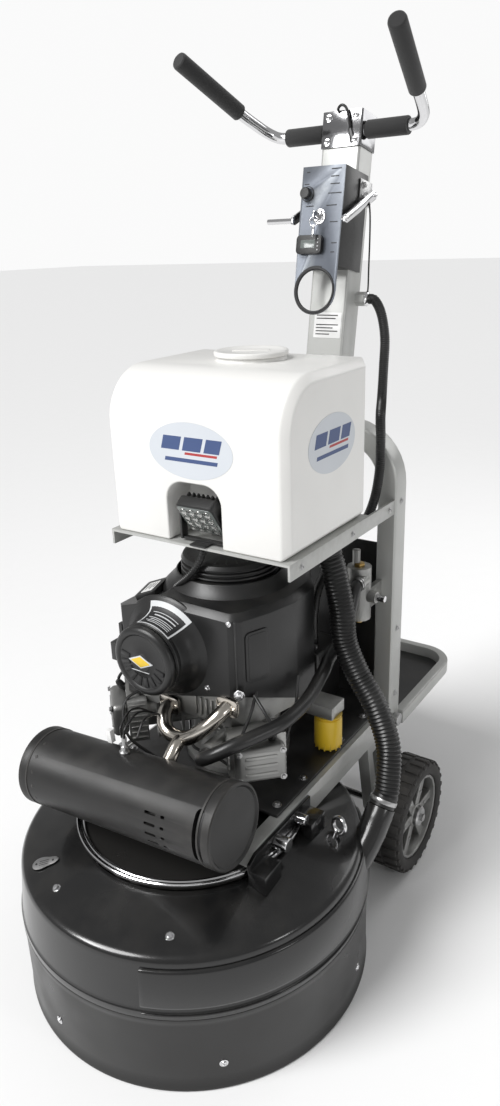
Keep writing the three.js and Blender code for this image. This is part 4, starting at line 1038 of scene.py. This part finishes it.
# ---- controls ----
def panel_pieces():
    """Post, control box and panel, with the button, key, meter and cup ring."""
    soften("handle_post", "post_tube", 0.003, 3)
    soften("bar_clamp", "clamp_block", 0.002, 3, 32, SMOKED)
    soften("control_box", "switch_box", 0.002, 2)
    soften("throttle_lever", "throttle_bail", 0.001, 2, 40)
    soften("face_plate", "switch_panel", 0.0008, 2, 40)
    plate = Shape(POST_FRAME)
    front = on_panel(0, 389)
    for x, y, w, h in ((-44, 96, 8, 2), (20, 100, 26, 2), (20, 84, 20, 2), (20, 68, 24, 2), (-48, 70, 12, 2),
                       (-40, 22, 20, 2), (14, 22, 26, 2), (-30, -8, 10, 2), (26, -14, 20, 2), (16, 48, 34, 2),
                       (34, -60, 14, 2), (34, -80, 10, 2)):
        plate.block((x, y, 0), (x + w, y + h, 0.5), front)
    ring = [(15, 0), (17, 0), (17, 0.6), (15, 0.6)]
    for x, y in ((-38, 50), (-3, -1)):
        plate.turned(ring, front @ shift(x, y, 0), 32)
    fit("panel_marks", plate, MARK_DARK, "control_post")
    rim = Shape(POST_FRAME)
    rim.pipe([(x, -103, 225 + z) for x, z in circle(49.6, 64)], 3.4, 12, closed=True)
    rim.turned([(48.2, -0.2), (55.2, -0.2), (55.2, 1.2), (48.2, 1.2)], on_panel(0, 225, -104.2), 72,
               start=math.radians(-35), sweep=math.radians(-250))
    fit("cup_ring_edge", rim, MARK_DARK, "control_post")
    knob = Shape(POST_FRAME)
    at = on_panel(-38, 439, -104.6)
    knob.turned([(0, -12), (7.6, -12), (7.6, 5.2), (12, 6), (13, 8), (13, 14), (11, 17), (0, 17.6)], at, 40)
    fit("stop_knob", knob, "satin_black", "stop", stands_for=["stop_button"])
    lock = Shape(POST_FRAME)
    at = on_panel(-3, 388)
    lock.turned([(8, 0), (13, 0), (13.5, 2), (11, 5), (8, 5)], at, 6)
    lock.turned([(7.6, -2), (17, -2), (17, 1), (7.6, 1)], at, 36)
    fit("lock_nut", lock, "bright_chrome", "control_post", edge=0.0005)
    soften("ignition_key", "key_blade", 0.0006, 2)
    fob = Shape(POST_FRAME)
    fob.pipe([(x - 3, -128, 374 + z) for x, z in circle(11, 28)], 1.1, 8, closed=True)
    fob.block((-6, -130, 340), (0, -126, 366))
    fit("key_ring", fob, "bright_chrome", "key", edge=0.0005)
    meter = Shape(POST_FRAME)
    meter_at = on_panel(-19, 326, -104.6)
    meter.sheet(rounded(-33, 33, -21, 21, 9), -0.5, 12, meter_at)
    meter.sheet(rounded(-21, 17, -8, 10, 2), 11.8, 12.6, meter_at, 1)
    for k in range(4):
        meter.disc(1.6, 11.6, 12.8, meter_at @ shift(24, -12 + 8 * k, 0), 12, 2)
    fit("hour_meter", meter, ["satin_black", GLASS_GREY, MARK_PALE], "control_post",
        edge=0.0015, segments=3)


def post_fittings():
    """Bolts, lever bracket, clamp cable and label on the post."""
    bolts = Shape(POST_FRAME)
    for v in (566, 618):
        for x in (-36, 36):
            bolts.hex_bolt(facing((x, -39, v), FRONT), 6, 5)
    bolts.turned([(0, 0), (17, 0), (18, 3), (14, 7), (10, 9), (0, 9)], facing((74.6, 20, 220), RIGHT), 32)
    fit("control_bolts", bolts, "bright_chrome", "control_post", edge=0.0004)
    bracket = Shape(POST_FRAME)
    bracket.block((55.4, -30, 430), (58.4, 30, 484))
    for v in (444, 472):
        bracket.hex_bolt(facing((58.4, -16, v), RIGHT), 6, 6)
    fit("lever_bracket", bracket, "machined_steel", "control_post", edge=0.0006)
    top = Shape(POST_FRAME)
    top.pipe(smooth_line([(-8, -36, 626), (-10, -44, 634), (2, -50, 640), (14, -48, 632), (22, -46, 606),
                          (26, -44, 580), (30, -41, 560)], 4), 3, 12)
    top.pipe([(34, -44, 566), (16, -45, 612)], 3, 14, None, 1)
    fit("clamp_cable", top, ["hose_rubber", "bright_chrome"], "control_post")
    label = Shape(POST_FRAME)
    at = facing((8, -36.2, 152), FRONT)
    label.sheet(rounded(-40, 34, -30, 30, 2), 0, 0.5, at)
    for k, width in enumerate((58, 52, 0, 60, 46, 60, 38)):
        if width:
            label.block((-34, 22 - 7.4 * k, 0.4), (-34 + width, 24.4 - 7.4 * k, 0.8), at, 1)
    fit("post_label", label, [LABEL_WHITE, MARK_DARK], "control_post")


def handlebar_pieces():
    """Bent bar with its foam sleeves and grips."""
    grip_from, grip_to = Vector((224, -136, 623)), Vector((256.5, -330, 677.5))
    half = [(0, -14, 592), (60, -14, 592), (120, -14, 592), (160, -14, 592), (184, -20, 594), (200, -38, 600),
            (210, -66, 607)]
    half += [tuple(grip_from.lerp(grip_to, t)) for t in (0, 0.5, 0.96)]
    line = smooth_line(half, 6)
    whole = [Vector((-p.x, p.y, p.z)) for p in reversed(line[1:])] + line
    fit("bar_tube", Shape(POST_FRAME).pipe(whole, 12.7, 32), "bright_chrome", "steering_bar",
        stands_for=["handlebar"])
    foam = Shape(POST_FRAME)
    sleeve = [(13, 0), (19, 0), (20, 2), (20, 100), (19, 102), (13, 102)]
    for side in (-1, 1):
        foam.turned(sleeve, facing((side * 56, -14, 592), (side, 0, 0)), 40)
    fit("bar_sleeves", foam, "grip_foam", "steering_bar")
    for side, s in SIDES:
        start = Vector((s * grip_from.x, grip_from.y, grip_from.z))
        end = Vector((s * grip_to.x, grip_to.y, grip_to.z))
        length = (end - start).length
        grip = Shape(POST_FRAME)
        grip.turned([(13.2, 0), (17.5, 0), (19, 1.5), (19, length - 6), (17.8, length - 2), (15, length),
                     (0, length),
                     (0, length - 5), (13.2, length - 5)], facing(start, end - start), 48)
        fit(f"foam_grip_{side}", grip, "grip_foam", "steering_bar", stands_for=[f"grip_{side}"])


deck_pieces()
chassis_pieces()
wheel_pieces()
tank_pieces()
fan_and_filter()
exhaust()
cylinder_heads()
oil_filter_and_battery()
small_engine_parts()
muffler_pieces()
gas_pieces()
panel_pieces()
post_fittings()
handlebar_pieces()


# ---- studio ----
def studio():
    """A pale floor and sky, a soft sun and three lamps."""
    floor = bpy.data.meshes.new("floor")
    half = 60                  # metres, so that the floor has no edge in view
    floor.from_pydata([(-half, -half, 0), (half, -half, 0), (half, half, 0), (-half, half, 0)], [],
                      [(0, 1, 2, 3)])
    floor.materials.append(finish("pale_floor", (0.88, 0.88, 0.88), (0.86, 0.86, 0.86), 0.7, 0.1, 0, 40,
                                  0.02))
    linked("floor", floor)
    world = bpy.data.worlds.new("studio")
    bpy.context.scene.world = world
    world.use_nodes = True
    tree = world.node_tree
    link = tree.links.new
    sky = tree.nodes["Background"]
    sky.inputs["Color"].default_value = (1, 1, 1, 1)
    seen = tree.nodes.new("ShaderNodeLightPath")
    level = tree.nodes.new("ShaderNodeMapRange")
    # a dimmer sky for the light than for the camera
    level.inputs["To Min"].default_value = 0.36
    level.inputs["To Max"].default_value = 0.96
    link(seen.outputs["Is Camera Ray"], level.inputs["Value"])
    link(level.outputs["Result"], sky.inputs["Strength"])
    sun = bpy.data.lights.new("soft_sun", "SUN")
    sun.energy = 2.7
    sun.angle = math.radians(30)
    high = bpy.data.objects.new("soft_sun", sun)
    high.rotation_euler = Vector((0.3, 0.6, -0.74)).to_track_quat("-Z", "Y").to_euler()
    bpy.context.collection.objects.link(high)
    for name, at, size, power in (("key", (-1.6, -3.0, 2.6), 1.0, 34), ("side", (3.0, -0.6, 1.6), 0.5, 7),
                                  ("back", (1.2, 3.0, 2.6), 1.6, 18)):
        lamp = bpy.data.lights.new(name, "AREA")
        lamp.size = size
        lamp.energy = power
        light = bpy.data.objects.new(name, lamp)
        light.location = at
        light.rotation_euler = (Vector((0, 0, 0.7)) - Vector(at)).to_track_quat("-Z", "Y").to_euler()
        bpy.context.collection.objects.link(light)
    bpy.context.scene.view_settings.view_transform = "Standard"


studio()
